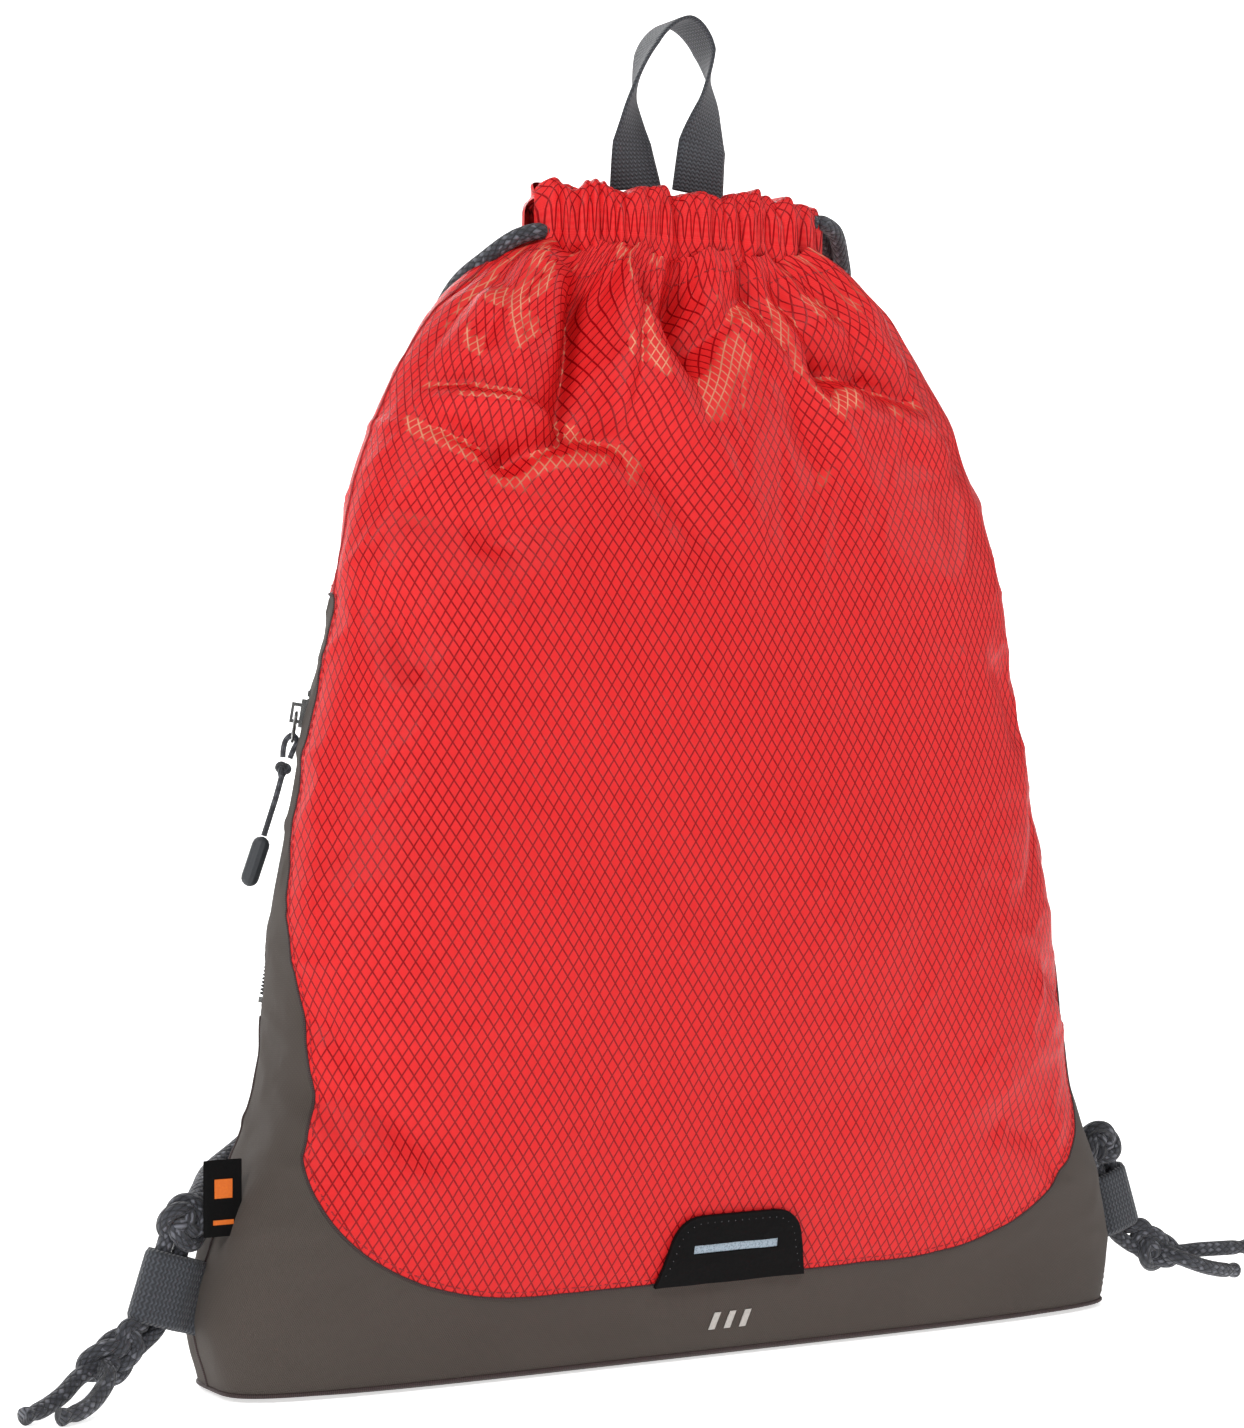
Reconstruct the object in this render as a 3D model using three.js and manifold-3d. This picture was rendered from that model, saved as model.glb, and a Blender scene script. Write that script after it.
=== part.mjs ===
// A cinched drawstring backpack with a side zip pocket, standing upright.
// Millimetres, +Z up, front of the bag towards -Y, origin on the ground at the middle of the base.
import * as THREE from "three";
import { mergeVertices } from "three/addons/utils/BufferGeometryUtils.js";
import Module from "manifold-3d";

const wasm = await Module();
wasm.setup();

// ---- Driving dimensions ----
const WALL = 1.8; // panel thickness
const GAP = 0.3; // clearance between sewn neighbours
const PANEL_TOP = 397.5; // top edge of the body panels
const SEAM_LOW = 30; // lowest height of the seam between front panel and boot
const CORNER_TOP = 84; // top of the front panel's rounded lower corners
const CORNER_RUN = 87; // width of those corners
const SEAM_DEPTH = 26; // how far forward the seam lies at the corner's top
const SIDE_SEAM_Y = 4; // depth of the side seam, above the boot's taper
const TAPER_TOP = 215; // height at which the taper reaches the side seam
const GUSSET_TOP = 276; // tip of the boot's side
const ZIP_Y = 17; // how far back the zip and the rear seam lie
const TAB_Y = 2; // depth of the corner tabs, and of the rear seam below the zip
const SEAM_KINK = [55, 86]; // heights between which the rear seam moves from one to the other
const BACK_SEAM_ARCH = 246; // height above which the rear seam arches in
const CORD_R = 3;
const WEB_WIDTH = 25;
const WEB_THICK = 1.6;
const HEM_HALF_WIDTH = 52; // drawcord tunnel's centreline
const HEM_HALF_DEPTH = 15;
const HEM_THICK = 10;
const HEM_WALL = 1.2;
const HEM_LOW = 398;
const HEM_HIGH = 424;
const LOW_RUN_Z = 406; // height of the left cord in the tunnel
const HIGH_RUN_Z = 417; // height of the right cord in the tunnel
const EXIT_Y = 4; // strands leave the tunnel's side mouth this far either side of the middle
const TAB_LEAN = THREE.MathUtils.degToRad(18);
const ZIP_TOP = 246;
const ZIP_FOOT = 128;
const ZIP_TURN = THREE.MathUtils.degToRad(26); // the zip faces this far behind straight sideways
const ZIP_WINDOW = 10; // width of the slot that the zip closes

// The body's cross-section at each height: half width, half depth and squareness.
const STATIONS = [
  { z: 0, w: 186, d: 30, n: 4.5 },
  { z: 25, w: 191, d: 33, n: 4.2 },
  { z: 52, w: 185, d: 40, n: 3.8 },
  { z: 90, w: 171, d: 48, n: 3.2 },
  { z: 140, w: 164, d: 53, n: 2.8 },
  { z: 200, w: 154, d: 54, n: 2.55 },
  { z: 260, w: 144, d: 50, n: 2.4 },
  { z: 310, w: 133, d: 43, n: 2.35 },
  { z: 350, w: 115, d: 35.5, n: 2.3 },
  { z: 378, w: 94, d: 28.5, n: 2.3 },
  { z: 390, w: 78, d: 24.5, n: 2.3 },
  { z: 398, w: 58, d: 20.5, n: 2.3 },
];

// ---- Materials ----
const cloth = (color, roughness) =>
  new THREE.MeshStandardMaterial({ color, roughness, metalness: 0 });
const redRipstop = cloth(0xd01020, 0.45);
const greyTwill = cloth(0x575049, 0.7);
const webbing = cloth(0x33343a, 0.8);
const cordBraid = cloth(0x2b2b33, 0.75);
const blackTrim = cloth(0x121212, 0.5);
const reflective = cloth(0x9fb2bd, 0.3);
const zipTape = cloth(0x2a2622, 0.8);
const coilPlastic = cloth(0x1d1b19, 0.4);
const liningCloth = cloth(0x3d3a37, 0.8);
const rubber = cloth(0x33373a, 0.55);
const metal = new THREE.MeshStandardMaterial({
  color: 0xc9c9c6,
  roughness: 0.25,
  metalness: 1,
});

const lerp = THREE.MathUtils.lerp;
const steps = (count, from, to) =>
  Array.from({ length: count + 1 }, (_, i) => lerp(from, to, i / count));

const bag = new THREE.Group();

function add(name, geometry, material, parent = bag) {
  const mesh = new THREE.Mesh(geometry, material);
  mesh.name = name;
  parent.add(mesh);
  return mesh;
}

// ---- Body surface ----

// A station's value at height z, by a cubic through the neighbouring stations.
function sectionAt(z) {
  const last = STATIONS.length - 1;
  let i = 0;
  while (i < last - 1 && z > STATIONS[i + 1].z) i++;
  const [p, q] = [STATIONS[i], STATIONS[i + 1]];
  const [before, after] = [STATIONS[Math.max(i - 1, 0)], STATIONS[Math.min(i + 2, last)]];
  const span = q.z - p.z;
  const t = (z - p.z) / span;
  const at = (key) => {
    const slopeP = ((q[key] - before[key]) / (q.z - before.z)) * span;
    const slopeQ = ((after[key] - p[key]) / (after.z - p.z)) * span;
    return (
      p[key] * (1 + 2 * t) * (1 - t) ** 2 +
      slopeP * t * (1 - t) ** 2 +
      q[key] * t * t * (3 - 2 * t) +
      slopeQ * t * t * (t - 1)
    );
  };
  return { w: at("w"), d: at("d"), n: at("n") };
}

const quarter = Math.PI / 2;
const signedPower = (value, power) => Math.sign(value) * Math.abs(value) ** power;

// The point at angle phi round the body, measured from the middle of the front towards +X.
function wallPoint(phi, z, inset = 0) {
  const { w, d, n } = sectionAt(z);
  return new THREE.Vector3(
    (w - inset) * signedPower(Math.sin(phi), 2 / n),
    -(d - inset) * signedPower(Math.cos(phi), 2 / n),
    z,
  );
}

// Angles at which the body's surface has a given x, or a given y, on its +X side.
function phiAtX(x, z) {
  const { w, n } = sectionAt(z);
  return Math.asin(Math.min(1, (x / w) ** (n / 2)));
}
function phiAtY(y, z) {
  const { d, n } = sectionAt(z);
  return Math.acos(-signedPower(y / d, n / 2));
}

const seamCornerX = () => {
  const { w, d, n } = sectionAt(CORNER_TOP);
  return w * (1 - (SEAM_DEPTH / d) ** n) ** (1 / n);
};

// The seam between the front panel and the boot, as an angle at height z, moved outwards by shift.
function seamPhi(z, shift = 0) {
  if (z >= CORNER_TOP) {
    const t = THREE.MathUtils.smoothstep(z, CORNER_TOP, TAPER_TOP);
    return phiAtY(lerp(-SEAM_DEPTH, SIDE_SEAM_Y, t) + shift, z);
  }
  const drop = (CORNER_TOP - z) / (CORNER_TOP - SEAM_LOW);
  const x = seamCornerX() - CORNER_RUN * (1 - Math.sqrt(Math.max(0, 1 - drop * drop)));
  return phiAtX(x + shift, z);
}

// The rear seam of the boot, and above the boot the side seam, moved backwards by shift.
function backSeamPhi(z, shift = 0) {
  const rise = THREE.MathUtils.clamp((z - BACK_SEAM_ARCH) / (GUSSET_TOP - BACK_SEAM_ARCH), 0, 1);
  const low = lerp(TAB_Y, ZIP_Y, THREE.MathUtils.smoothstep(z, ...SEAM_KINK));
  return phiAtY(lerp(SIDE_SEAM_Y, low, Math.sqrt(1 - rise * rise)) + shift, z);
}

// A closed solid between two grids of points, [row][column], that face each other.
function sheetSolid(outer, inner) {
  const [rows, columns] = [outer.length, outer[0].length];
  const positions = [...outer.flat(), ...inner.flat()].flatMap((p) => [p.x, p.y, p.z]);
  const at = (side, i, j) => side * rows * columns + i * columns + j;
  const faces = [];
  const quad = (a, b, c, d) => faces.push(a, b, c, a, c, d);
  for (let i = 0; i < rows - 1; i++) {
    for (let j = 0; j < columns - 1; j++) {
      quad(at(0, i, j), at(0, i, j + 1), at(0, i + 1, j + 1), at(0, i + 1, j));
      quad(at(1, i, j), at(1, i + 1, j), at(1, i + 1, j + 1), at(1, i, j + 1));
    }
  }
  for (let j = 0; j < columns - 1; j++) {
    quad(at(0, 0, j + 1), at(0, 0, j), at(1, 0, j), at(1, 0, j + 1));
    quad(at(0, rows - 1, j), at(0, rows - 1, j + 1), at(1, rows - 1, j + 1), at(1, rows - 1, j));
  }
  for (let i = 0; i < rows - 1; i++) {
    quad(at(0, i, 0), at(0, i + 1, 0), at(1, i + 1, 0), at(1, i, 0));
    quad(at(0, i + 1, columns - 1), at(0, i, columns - 1), at(1, i, columns - 1), at(1, i + 1, columns - 1));
  }
  return facingOut(positions, faces);
}

// The geometry with its faces turned outwards.
function facingOut(positions, faces) {
  const p = (i) => new THREE.Vector3().fromArray(positions, 3 * i);
  let volume = 0;
  for (let i = 0; i < faces.length; i += 3)
    volume += p(faces[i]).dot(p(faces[i + 1]).cross(p(faces[i + 2])));
  if (volume < 0)
    for (let i = 0; i < faces.length; i += 3)
      [faces[i + 1], faces[i + 2]] = [faces[i + 2], faces[i + 1]];
  const geometry = new THREE.BufferGeometry();
  geometry.setAttribute("position", new THREE.Float32BufferAttribute(positions, 3));
  geometry.setIndex(faces);
  return geometry;
}

// A panel of the body: each row is a height, and runs between two angles.
function panel(heights, fromPhi, toPhi, columns) {
  const grid = (inset) =>
    heights.map((z) => steps(columns, fromPhi(z), toPhi(z)).map((phi) => wallPoint(phi, z, inset)));
  return sheetSolid(grid(0), grid(WALL));
}

// ---- Booleans ----
function toManifold(geometry) {
  const bare = geometry.clone();
  for (const key of ["normal", "uv"]) bare.deleteAttribute(key);
  const merged = mergeVertices(bare, 1e-4);
  return new wasm.Manifold(
    new wasm.Mesh({
      numProp: 3,
      vertProperties: merged.attributes.position.array,
      triVerts: new Uint32Array(merged.index.array),
    }),
  );
}
function fromManifold(solid) {
  const mesh = solid.getMesh();
  const geometry = new THREE.BufferGeometry();
  geometry.setAttribute("position", new THREE.BufferAttribute(mesh.vertProperties, 3));
  geometry.setIndex(new THREE.BufferAttribute(mesh.triVerts, 1));
  return geometry;
}
const cut = (geometry, tool) => fromManifold(toManifold(geometry).subtract(toManifold(tool)));
const join = (first, ...others) =>
  fromManifold(others.reduce((sum, g) => sum.add(toManifold(g)), toManifold(first)));

const box = (x, y, z, at = [0, 0, 0]) => new THREE.BoxGeometry(x, y, z).translate(...at);

// ---- Zip frame: local X runs into the bag, Y backwards and Z up the zip ----
const leftWall = (y, z) => wallPoint(-phiAtY(y, z), z);
const zipTop = leftWall(ZIP_Y, ZIP_TOP);
const zipRun = zipTop.clone().sub(leftWall(ZIP_Y, ZIP_FOOT));
const ZIP_LENGTH = zipRun.length();
const zipUp = zipRun.clone().normalize();
const zipRear = zipUp.clone().cross(new THREE.Vector3(Math.cos(ZIP_TURN), -Math.sin(ZIP_TURN), 0));
zipRear.normalize();
const zip = new THREE.Group();
zip.setRotationFromMatrix(
  new THREE.Matrix4().makeBasis(zipRear.clone().cross(zipUp), zipRear, zipUp),
);
zip.position.copy(zipTop);
bag.add(zip);

// ---- Panels ----
const FOOT = 2.1; // lower edge of the panels, just above the base
const FOOT_ROWS = steps(4, FOOT, CORNER_TOP);
const SIDE_ROWS = steps(8, CORNER_TOP, BACK_SEAM_ARCH);
const ARCH_ROWS = steps(5, 0, 1.4).map(
  (a) => BACK_SEAM_ARCH + (GUSSET_TOP - BACK_SEAM_ARCH) * Math.sin(a),
);
const YOKE_ROWS = steps(7, GUSSET_TOP + GAP, PANEL_TOP);
const CORNER_STEPS = 8;

function frontPanel() {
  const corner = steps(CORNER_STEPS, 0, Math.PI / 2).map(
    (a) => CORNER_TOP - (CORNER_TOP - SEAM_LOW) * Math.cos(a),
  );
  const heights = [...corner, ...SIDE_ROWS.slice(1), ...ARCH_ROWS.slice(1), ...YOKE_ROWS];
  return panel(heights, (z) => -seamPhi(z), seamPhi, 16);
}

// The lower back is one grey panel; a red yoke closes the back above the boot's tips.
function backPanel() {
  const heights = [...FOOT_ROWS, ...SIDE_ROWS.slice(1), ...ARCH_ROWS.slice(1), GUSSET_TOP];
  const edge = (z) => backSeamPhi(z, GAP);
  return panel(heights, edge, (z) => 2 * Math.PI - edge(z), 14);
}
function backYoke() {
  const edge = (z) => backSeamPhi(z, GAP);
  return panel(YOKE_ROWS, edge, (z) => 2 * Math.PI - edge(z), 14);
}

// The boot is one U-shaped piece: up the left side, along the front's foot and up the right side.
// Each of its cross lines runs from the front panel's seam to the rear seam or the foot.
function bootPanel() {
  const sideHeights = [...SIDE_ROWS.slice(0, -1), ...ARCH_ROWS].reverse();
  const half = sideHeights.map((z) => [[seamPhi(z, GAP), z], [backSeamPhi(z), z]]);
  for (let i = 1; i <= CORNER_STEPS; i++) {
    const a = ((i / CORNER_STEPS) * Math.PI) / 2;
    const z = CORNER_TOP - (CORNER_TOP - SEAM_LOW) * Math.sin(a);
    const seam = [seamPhi(z, GAP * Math.cos(a)), z - GAP * Math.sin(a)];
    const down = Math.min(1, i / (CORNER_STEPS / 2));
    const inward = Math.max(0, i / (CORNER_STEPS / 2) - 1);
    const rimZ = lerp(CORNER_TOP, FOOT, down);
    half.push([seam, [lerp(backSeamPhi(rimZ), seamPhi(SEAM_LOW), inward), rimZ]]);
  }
  for (const phi of steps(3, seamPhi(SEAM_LOW), 0).slice(1))
    half.push([[phi, SEAM_LOW - GAP], [phi, FOOT]]);
  const mirrored = half.map((ends) => ends.map(([phi, z]) => [-phi, z]));
  const columns = [...mirrored, ...half.slice(0, -1).reverse()];
  const rows = 4;
  const grid = (inset) =>
    columns.map(([seam, rim]) =>
      steps(rows, 0, 1).map((t) => wallPoint(lerp(seam[0], rim[0], t), lerp(seam[1], rim[1], t), inset)),
    );
  return sheetSolid(grid(0), grid(WALL));
}

function basePanel() {
  const outline = new THREE.Shape(
    steps(48, 0, 2 * Math.PI)
      .slice(0, -1)
      .map((phi) => wallPoint(phi, 0))
      .map((p) => new THREE.Vector2(p.x, p.y)),
  );
  return new THREE.ExtrudeGeometry(outline, { depth: WALL, bevelEnabled: false });
}

// The whole body as one solid, grown by a margin: trims that are sewn on end just outside it.
function bodySolid(margin) {
  const rings = [...FOOT_ROWS, ...SIDE_ROWS.slice(1), ...steps(6, BACK_SEAM_ARCH, PANEL_TOP).slice(1)].map(
    (z) => steps(72, 0, 2 * Math.PI).slice(0, -1).map((phi) => wallPoint(phi, z, -margin)),
  );
  const around = rings[0].length;
  const faces = [];
  for (let row = 0; row + 1 < rings.length; row++)
    for (let k = 0; k < around; k++) {
      const [a, b] = [row * around + k, row * around + ((k + 1) % around)];
      faces.push(a, b, b + around, a, b + around, a + around);
    }
  const lastRow = (rings.length - 1) * around;
  for (let k = 1; k + 1 < around; k++) {
    faces.push(0, k + 1, k);
    faces.push(lastRow, lastRow + k, lastRow + k + 1);
  }
  return facingOut(rings.flat(2).flatMap((p) => p.toArray()), faces);
}

// The slot that the zip closes, cut from the two panels beside it.
zip.updateMatrixWorld(true);
const zipSlot = box(30, ZIP_WINDOW, ZIP_LENGTH - 8, [0, 0, -ZIP_LENGTH / 2]);
zipSlot.applyMatrix4(zip.matrixWorld);

add("front_panel", frontPanel(), redRipstop);
add("back_panel", cut(backPanel(), zipSlot), greyTwill);
add("back_yoke", backYoke(), redRipstop);
add("base_panel", basePanel(), greyTwill);
add("boot_panel", cut(bootPanel(), zipSlot), greyTwill);

// ---- Drawcord tunnel ----
// Half of the tunnel's centreline, from one side mouth to the other; side -1 is the front half.
function tunnelPath(side, z, from, to) {
  const points = steps(20, from, to).map((a) => {
    const [s, c] = [Math.sin(a), Math.cos(a)];
    const power = 2 / 2.3;
    return new THREE.Vector3(
      HEM_HALF_WIDTH * signedPower(s, power),
      side * HEM_HALF_DEPTH * signedPower(c, power),
      z,
    );
  });
  return new THREE.CatmullRomCurve3(points);
}

function hemHalf(side) {
  const mouth = 0.31; // angle left open at each side, where the cords come out
  const path = tunnelPath(side, (HEM_LOW + HEM_HIGH) / 2, -Math.PI / 2 + mouth, Math.PI / 2 - mouth);
  const [tall, thick] = [(HEM_HIGH - HEM_LOW) / 2, HEM_THICK / 2];
  const rounded = (Path, halfX, halfY, corner) => {
    const p = new Path();
    p.moveTo(-halfX + corner, -halfY).lineTo(halfX - corner, -halfY).lineTo(halfX, -halfY + corner);
    p.lineTo(halfX, halfY - corner).lineTo(halfX - corner, halfY).lineTo(-halfX + corner, halfY);
    return p.lineTo(-halfX, halfY - corner).lineTo(-halfX, -halfY + corner);
  };
  const section = rounded(THREE.Shape, tall, thick, 3);
  section.holes.push(rounded(THREE.Path, tall - HEM_WALL, thick - HEM_WALL, 1.2));
  return new THREE.ExtrudeGeometry(section, { steps: 20, bevelEnabled: false, extrudePath: path });
}

function disc(radius, sides = 8) {
  const corners = steps(sides, 0, 2 * Math.PI).slice(0, -1);
  return new THREE.Shape(
    corners.map((a) => new THREE.Vector2(radius * Math.cos(a), radius * Math.sin(a))),
  );
}

// A round tube along a smooth curve through the points.
function tube(points, radius, count, sides = 8) {
  const path = points instanceof THREE.Curve
    ? points
    : new THREE.CatmullRomCurve3(points.map((p) => new THREE.Vector3(...p)));
  return new THREE.ExtrudeGeometry(disc(radius, sides), {
    steps: count,
    bevelEnabled: false,
    extrudePath: path,
  });
}

// A cord's run through one half of the tunnel. It comes out of the tunnel at its own side's mouth,
// and turns back into the other half at the far side.
const EXIT_X = HEM_HALF_WIDTH + 6.5;
function cordRun(half, ownSide, z) {
  const inside = tunnelPath(half, z, -Math.PI / 2 + 0.32, Math.PI / 2).points.slice(1, -1);
  const points = [
    [-EXIT_X + 0.5, half * EXIT_Y, z],
    [-EXIT_X + 4, half * EXIT_Y, z],
    ...inside.map((p) => p.toArray()),
    [HEM_HALF_WIDTH, half * 3.6, z],
    [HEM_HALF_WIDTH, half * 0.25, z],
  ];
  return tube(points.map(([x, y, h]) => [-ownSide * x, y, h]), CORD_R, 26);
}

for (const [side, word] of [[-1, "front"], [1, "back"]]) {
  add(`hem_${word}`, hemHalf(side), redRipstop);
  add(`cord_run_${word}_left`, cordRun(side, -1, LOW_RUN_Z), cordBraid);
  add(`cord_run_${word}_right`, cordRun(side, 1, HIGH_RUN_Z), cordBraid);
}

// ---- Webbing tabs, strands, knots and cord ends ----
// Routes of the strands on the +X side, z measured down from the tunnel's exit; the left side
// mirrors them. Strand a leaves the tunnel in front of strand b.
const STRAND_ROUTES = {
  a: [
    [58.8, -4, 0], [62, -4, 0], [69, -1, -2.6], [76, 6, -9], [84, 16, -19], [88, 28, -36],
    [90, 40, -60], [90, 50, -92], [89, 58, -132], [89, 63, -178], [93, 65, -222], [102, 65, -260],
    [116, 62, -290], [134, 54, -311], [154, 43, -325], [174, 29, -333], [184, 15, -337], [190.2, 6.3, -340.4],
  ],
  b: [
    [58.8, 4, 0], [62, 4, 0], [69, 8, -4.6], [76, 16, -12], [82, 27, -24], [84, 39, -43],
    [84, 50, -68], [83, 59, -100], [81, 66, -140], [80, 70, -184], [83, 73, -228], [92, 72, -268],
    [107, 69, -300], [126, 62, -323], [148, 50, -338], [170, 38, -345], [185, 23.5, -347], [191.6, 9.1, -348.5],
  ],
};
const TAB_SEAM = new THREE.Vector3(183, TAB_Y, 31); // just inside the body's side
const TAB_REACH = 22; // from the body's side to the middle of the tab's channel
const TAB_END = 31; // and to the fold
const along = new THREE.Vector3(Math.cos(TAB_LEAN), 0, Math.sin(TAB_LEAN));
const across = new THREE.Vector3(Math.sin(TAB_LEAN), 0, -Math.cos(TAB_LEAN));
const channel = TAB_SEAM.clone().addScaledVector(along, TAB_REACH);
const UPPER_KNOT = [196, 0, 60];
const LOWER_KNOT = [223, -1, 16.5];
const TAIL_ROUTES = {
  left: {
    a: [[235.5, -4, 12], [243, -8, 7.5], [251, -11, 4.2], [259, -15, 3.2]],
    b: [[228, -10.5, 12], [234, -15, 6.5], [241, -19, 3.8], [249, -22, 3.2]],
  },
  right: {
    a: [[235, -3, 14.5], [243, -5, 15], [254, -7, 15], [265, -9, 15]],
    b: [[229, -10.5, 13.5], [238, -13, 10], [248, -12, 7.5], [258, -9, 6]],
  },
};

// A folded strip of webbing: two layers from the seam, opening into a channel round the cords.
function tabGeometry() {
  const halfGap = 3.6;
  const layer = WEB_THICK + 0.2;
  const swell = TAB_REACH - 9; // where the layers part
  const round = TAB_END - 5.5; // where the fold starts to turn
  const outer = new THREE.Shape();
  outer.moveTo(0, -layer).lineTo(swell - 4, -layer).lineTo(swell + 3, -halfGap - WEB_THICK);
  outer.lineTo(round, -halfGap - WEB_THICK);
  outer.absellipse(round, 0, TAB_END - round, halfGap + WEB_THICK, -Math.PI / 2, Math.PI / 2);
  outer.lineTo(swell + 3, halfGap + WEB_THICK).lineTo(swell - 4, layer).lineTo(0, layer);
  const hole = new THREE.Path();
  hole.moveTo(swell + 1.5, -halfGap * 0.8).lineTo(swell + 4, -halfGap).lineTo(round, -halfGap);
  hole.absellipse(round, 0, TAB_END - round - WEB_THICK, halfGap, -Math.PI / 2, Math.PI / 2);
  hole.lineTo(swell + 4, halfGap).lineTo(swell + 1.5, halfGap * 0.8);
  outer.holes.push(hole);
  return new THREE.ExtrudeGeometry(outer, { depth: WEB_WIDTH, bevelEnabled: false, curveSegments: 6 })
    .translate(0, 0, -WEB_WIDTH / 2);
}

const knotGeometry = (rx, ry, rz) => new THREE.SphereGeometry(1, 12, 8).scale(rx, ry, rz);

// The tab of one side, ending at the body's wall.
function placedTab(side) {
  const basis = new THREE.Matrix4().makeBasis(
    new THREE.Vector3(side * along.x, 0, along.z),
    new THREE.Vector3(0, side, 0),
    new THREE.Vector3(-side * across.x, 0, -across.z),
  );
  basis.setPosition(side * TAB_SEAM.x, TAB_SEAM.y, TAB_SEAM.z);
  return cut(tabGeometry().applyMatrix4(basis), bodySolid(GAP));
}

for (const [side, word] of [[-1, "left"], [1, "right"]]) {
  const flip = (p) => [side * p[0], p[1], p[2]];
  // The right cord leaves the tunnel higher than the left one, and loses that height on its way down.
  const extraHeight = side < 0 ? 0 : HIGH_RUN_Z - LOW_RUN_Z;
  for (const [letter, route] of Object.entries(STRAND_ROUTES)) {
    const end = route.at(-1)[2];
    const placed = route.map(([x, y, dz]) =>
      flip([x, y, LOW_RUN_Z + dz + extraHeight * (1 - dz / end)]),
    );
    add(`strand_${word}_${letter}`, tube(placed, CORD_R, 36), cordBraid);
  }
  add(`knot_upper_${word}`, knotGeometry(9, 9, 10).translate(...flip(UPPER_KNOT)), cordBraid);
  add(`corner_tab_${word}`, placedTab(side), webbing);

  // The two strands pass through the tab side by side.
  for (const [letter, shift] of [["a", 3.15], ["b", -3.15]]) {
    const middle = channel.clone().addScaledVector(along, shift);
    const top = middle.clone().addScaledVector(across, -13);
    const bottom = middle.clone().addScaledVector(across, 13);
    const below = bottom.clone().add(new THREE.Vector3(1.2, -0.4, -2));
    const link = [top, middle, bottom, below].map((p) => flip(p.toArray()));
    add(`cord_link_${word}_${letter}`, tube(link, CORD_R - 0.1, 8), cordBraid);
  }
  const lowerKnot = knotGeometry(12, 8, 8).rotateY(side * 0.35);
  add(`knot_lower_${word}`, lowerKnot.translate(...flip(LOWER_KNOT)), cordBraid);
  for (const [letter, route] of Object.entries(TAIL_ROUTES[word]))
    add(`cord_tail_${word}_${letter}`, tube(route.map(flip), CORD_R, 8), cordBraid);
}

// ---- Haul loop ----
// A flat strip along a path of points, its width turned by a twist angle at each point.
function ribbon(points, twists, width, thick) {
  const curve = new THREE.CatmullRomCurve3(points.map((p) => new THREE.Vector3(...p)));
  const count = 28;
  const rows = { outer: [], inner: [] };
  for (let i = 0; i <= count; i++) {
    const u = i / count;
    const p = curve.getPoint(u);
    const tangent = curve.getTangent(u);
    const at = u * (twists.length - 1);
    const k = Math.min(Math.floor(at), twists.length - 2);
    const twist = lerp(twists[k], twists[k + 1], at - k);
    const plain = new THREE.Vector3(0, 1, 0);
    const wide = plain.sub(tangent.clone().multiplyScalar(plain.dot(tangent))).normalize();
    wide.applyAxisAngle(tangent, twist);
    const normal = new THREE.Vector3().crossVectors(tangent, wide).normalize();
    for (const [key, side] of [["outer", 0.5], ["inner", -0.5]])
      rows[key].push(
        steps(2, -width / 2, width / 2).map((across) =>
          p.clone().addScaledVector(wide, across).addScaledVector(normal, side * thick),
        ),
      );
  }
  return sheetSolid(rows.outer, rows.inner);
}

const LOOP_Y = 7.6;
const LOOP_FOOT = HEM_HIGH + 2;
const loopPoints = [
  [-13.5, LOOP_Y, LOOP_FOOT], [-15.5, LOOP_Y - 1, 443], [-15, LOOP_Y - 2, 462], [-8, LOOP_Y - 2, 481],
  [4, LOOP_Y - 2, 489], [14.5, LOOP_Y - 2, 480], [17, LOOP_Y - 2, 462], [14.5, LOOP_Y - 1, 443],
  [13.2, LOOP_Y, LOOP_FOOT],
];
const loopTwists = [0.9, 0.72, 0.36, 0.1, 0, -0.14, -0.5, -0.84, -0.9].map((t) => -t * quarter);
add("haul_loop", ribbon(loopPoints, loopTwists, WEB_WIDTH, WEB_THICK), webbing);
for (const [x, word] of [[-13.5, "left"], [13.2, "right"]]) {
  const height = LOOP_FOOT - 4 - (HEM_LOW + 2);
  const place = [x, LOOP_Y, HEM_LOW + 2 + height / 2];
  add(`haul_loop_end_${word}`, box(WEB_WIDTH, WEB_THICK, height, place), webbing);
}

// ---- Reflector patch ----
const PATCH_FOOT = 29.5;
const PATCH_TALL = 25;
const PATCH_GAP = 0.5;
const patch = new THREE.Group();
const footDepth = sectionAt(PATCH_FOOT).d;
const topDepth = sectionAt(PATCH_FOOT + PATCH_TALL).d;
patch.position.set(0, -footDepth - PATCH_GAP, PATCH_FOOT);
patch.rotation.x = quarter + Math.atan((topDepth - footDepth) / PATCH_TALL);
bag.add(patch);
function patchGeometry() {
  const shape = new THREE.Shape();
  shape.moveTo(-31.5, 0).lineTo(31.5, 0).lineTo(27.5, PATCH_TALL - 8);
  shape.quadraticCurveTo(25.5, PATCH_TALL, 17, PATCH_TALL).lineTo(-17, PATCH_TALL);
  shape.quadraticCurveTo(-25.5, PATCH_TALL, -27.5, PATCH_TALL - 8).lineTo(-31.5, 0);
  const slot = new THREE.Path();
  slot.moveTo(-18, 11.2).lineTo(18, 11.2).lineTo(18, 14.8).lineTo(-18, 14.8);
  shape.holes.push(slot);
  return new THREE.ExtrudeGeometry(shape, { depth: 1.2, bevelEnabled: false, curveSegments: 5 });
}
add("reflector_patch", patchGeometry(), blackTrim, patch);
add("reflective_bar", box(35.2, 2.8, 0.9, [0, 13, 0.55]), reflective, patch);

// ---- Side label, a flag sewn to the boot above the left tab ----
const LABEL_Z = 69;
const labelBox = box(30, 1.2, 26, [-sectionAt(LABEL_Z).w, -10.5, LABEL_Z]);
add("side_label", cut(labelBox, bodySolid(GAP)), blackTrim);

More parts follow.
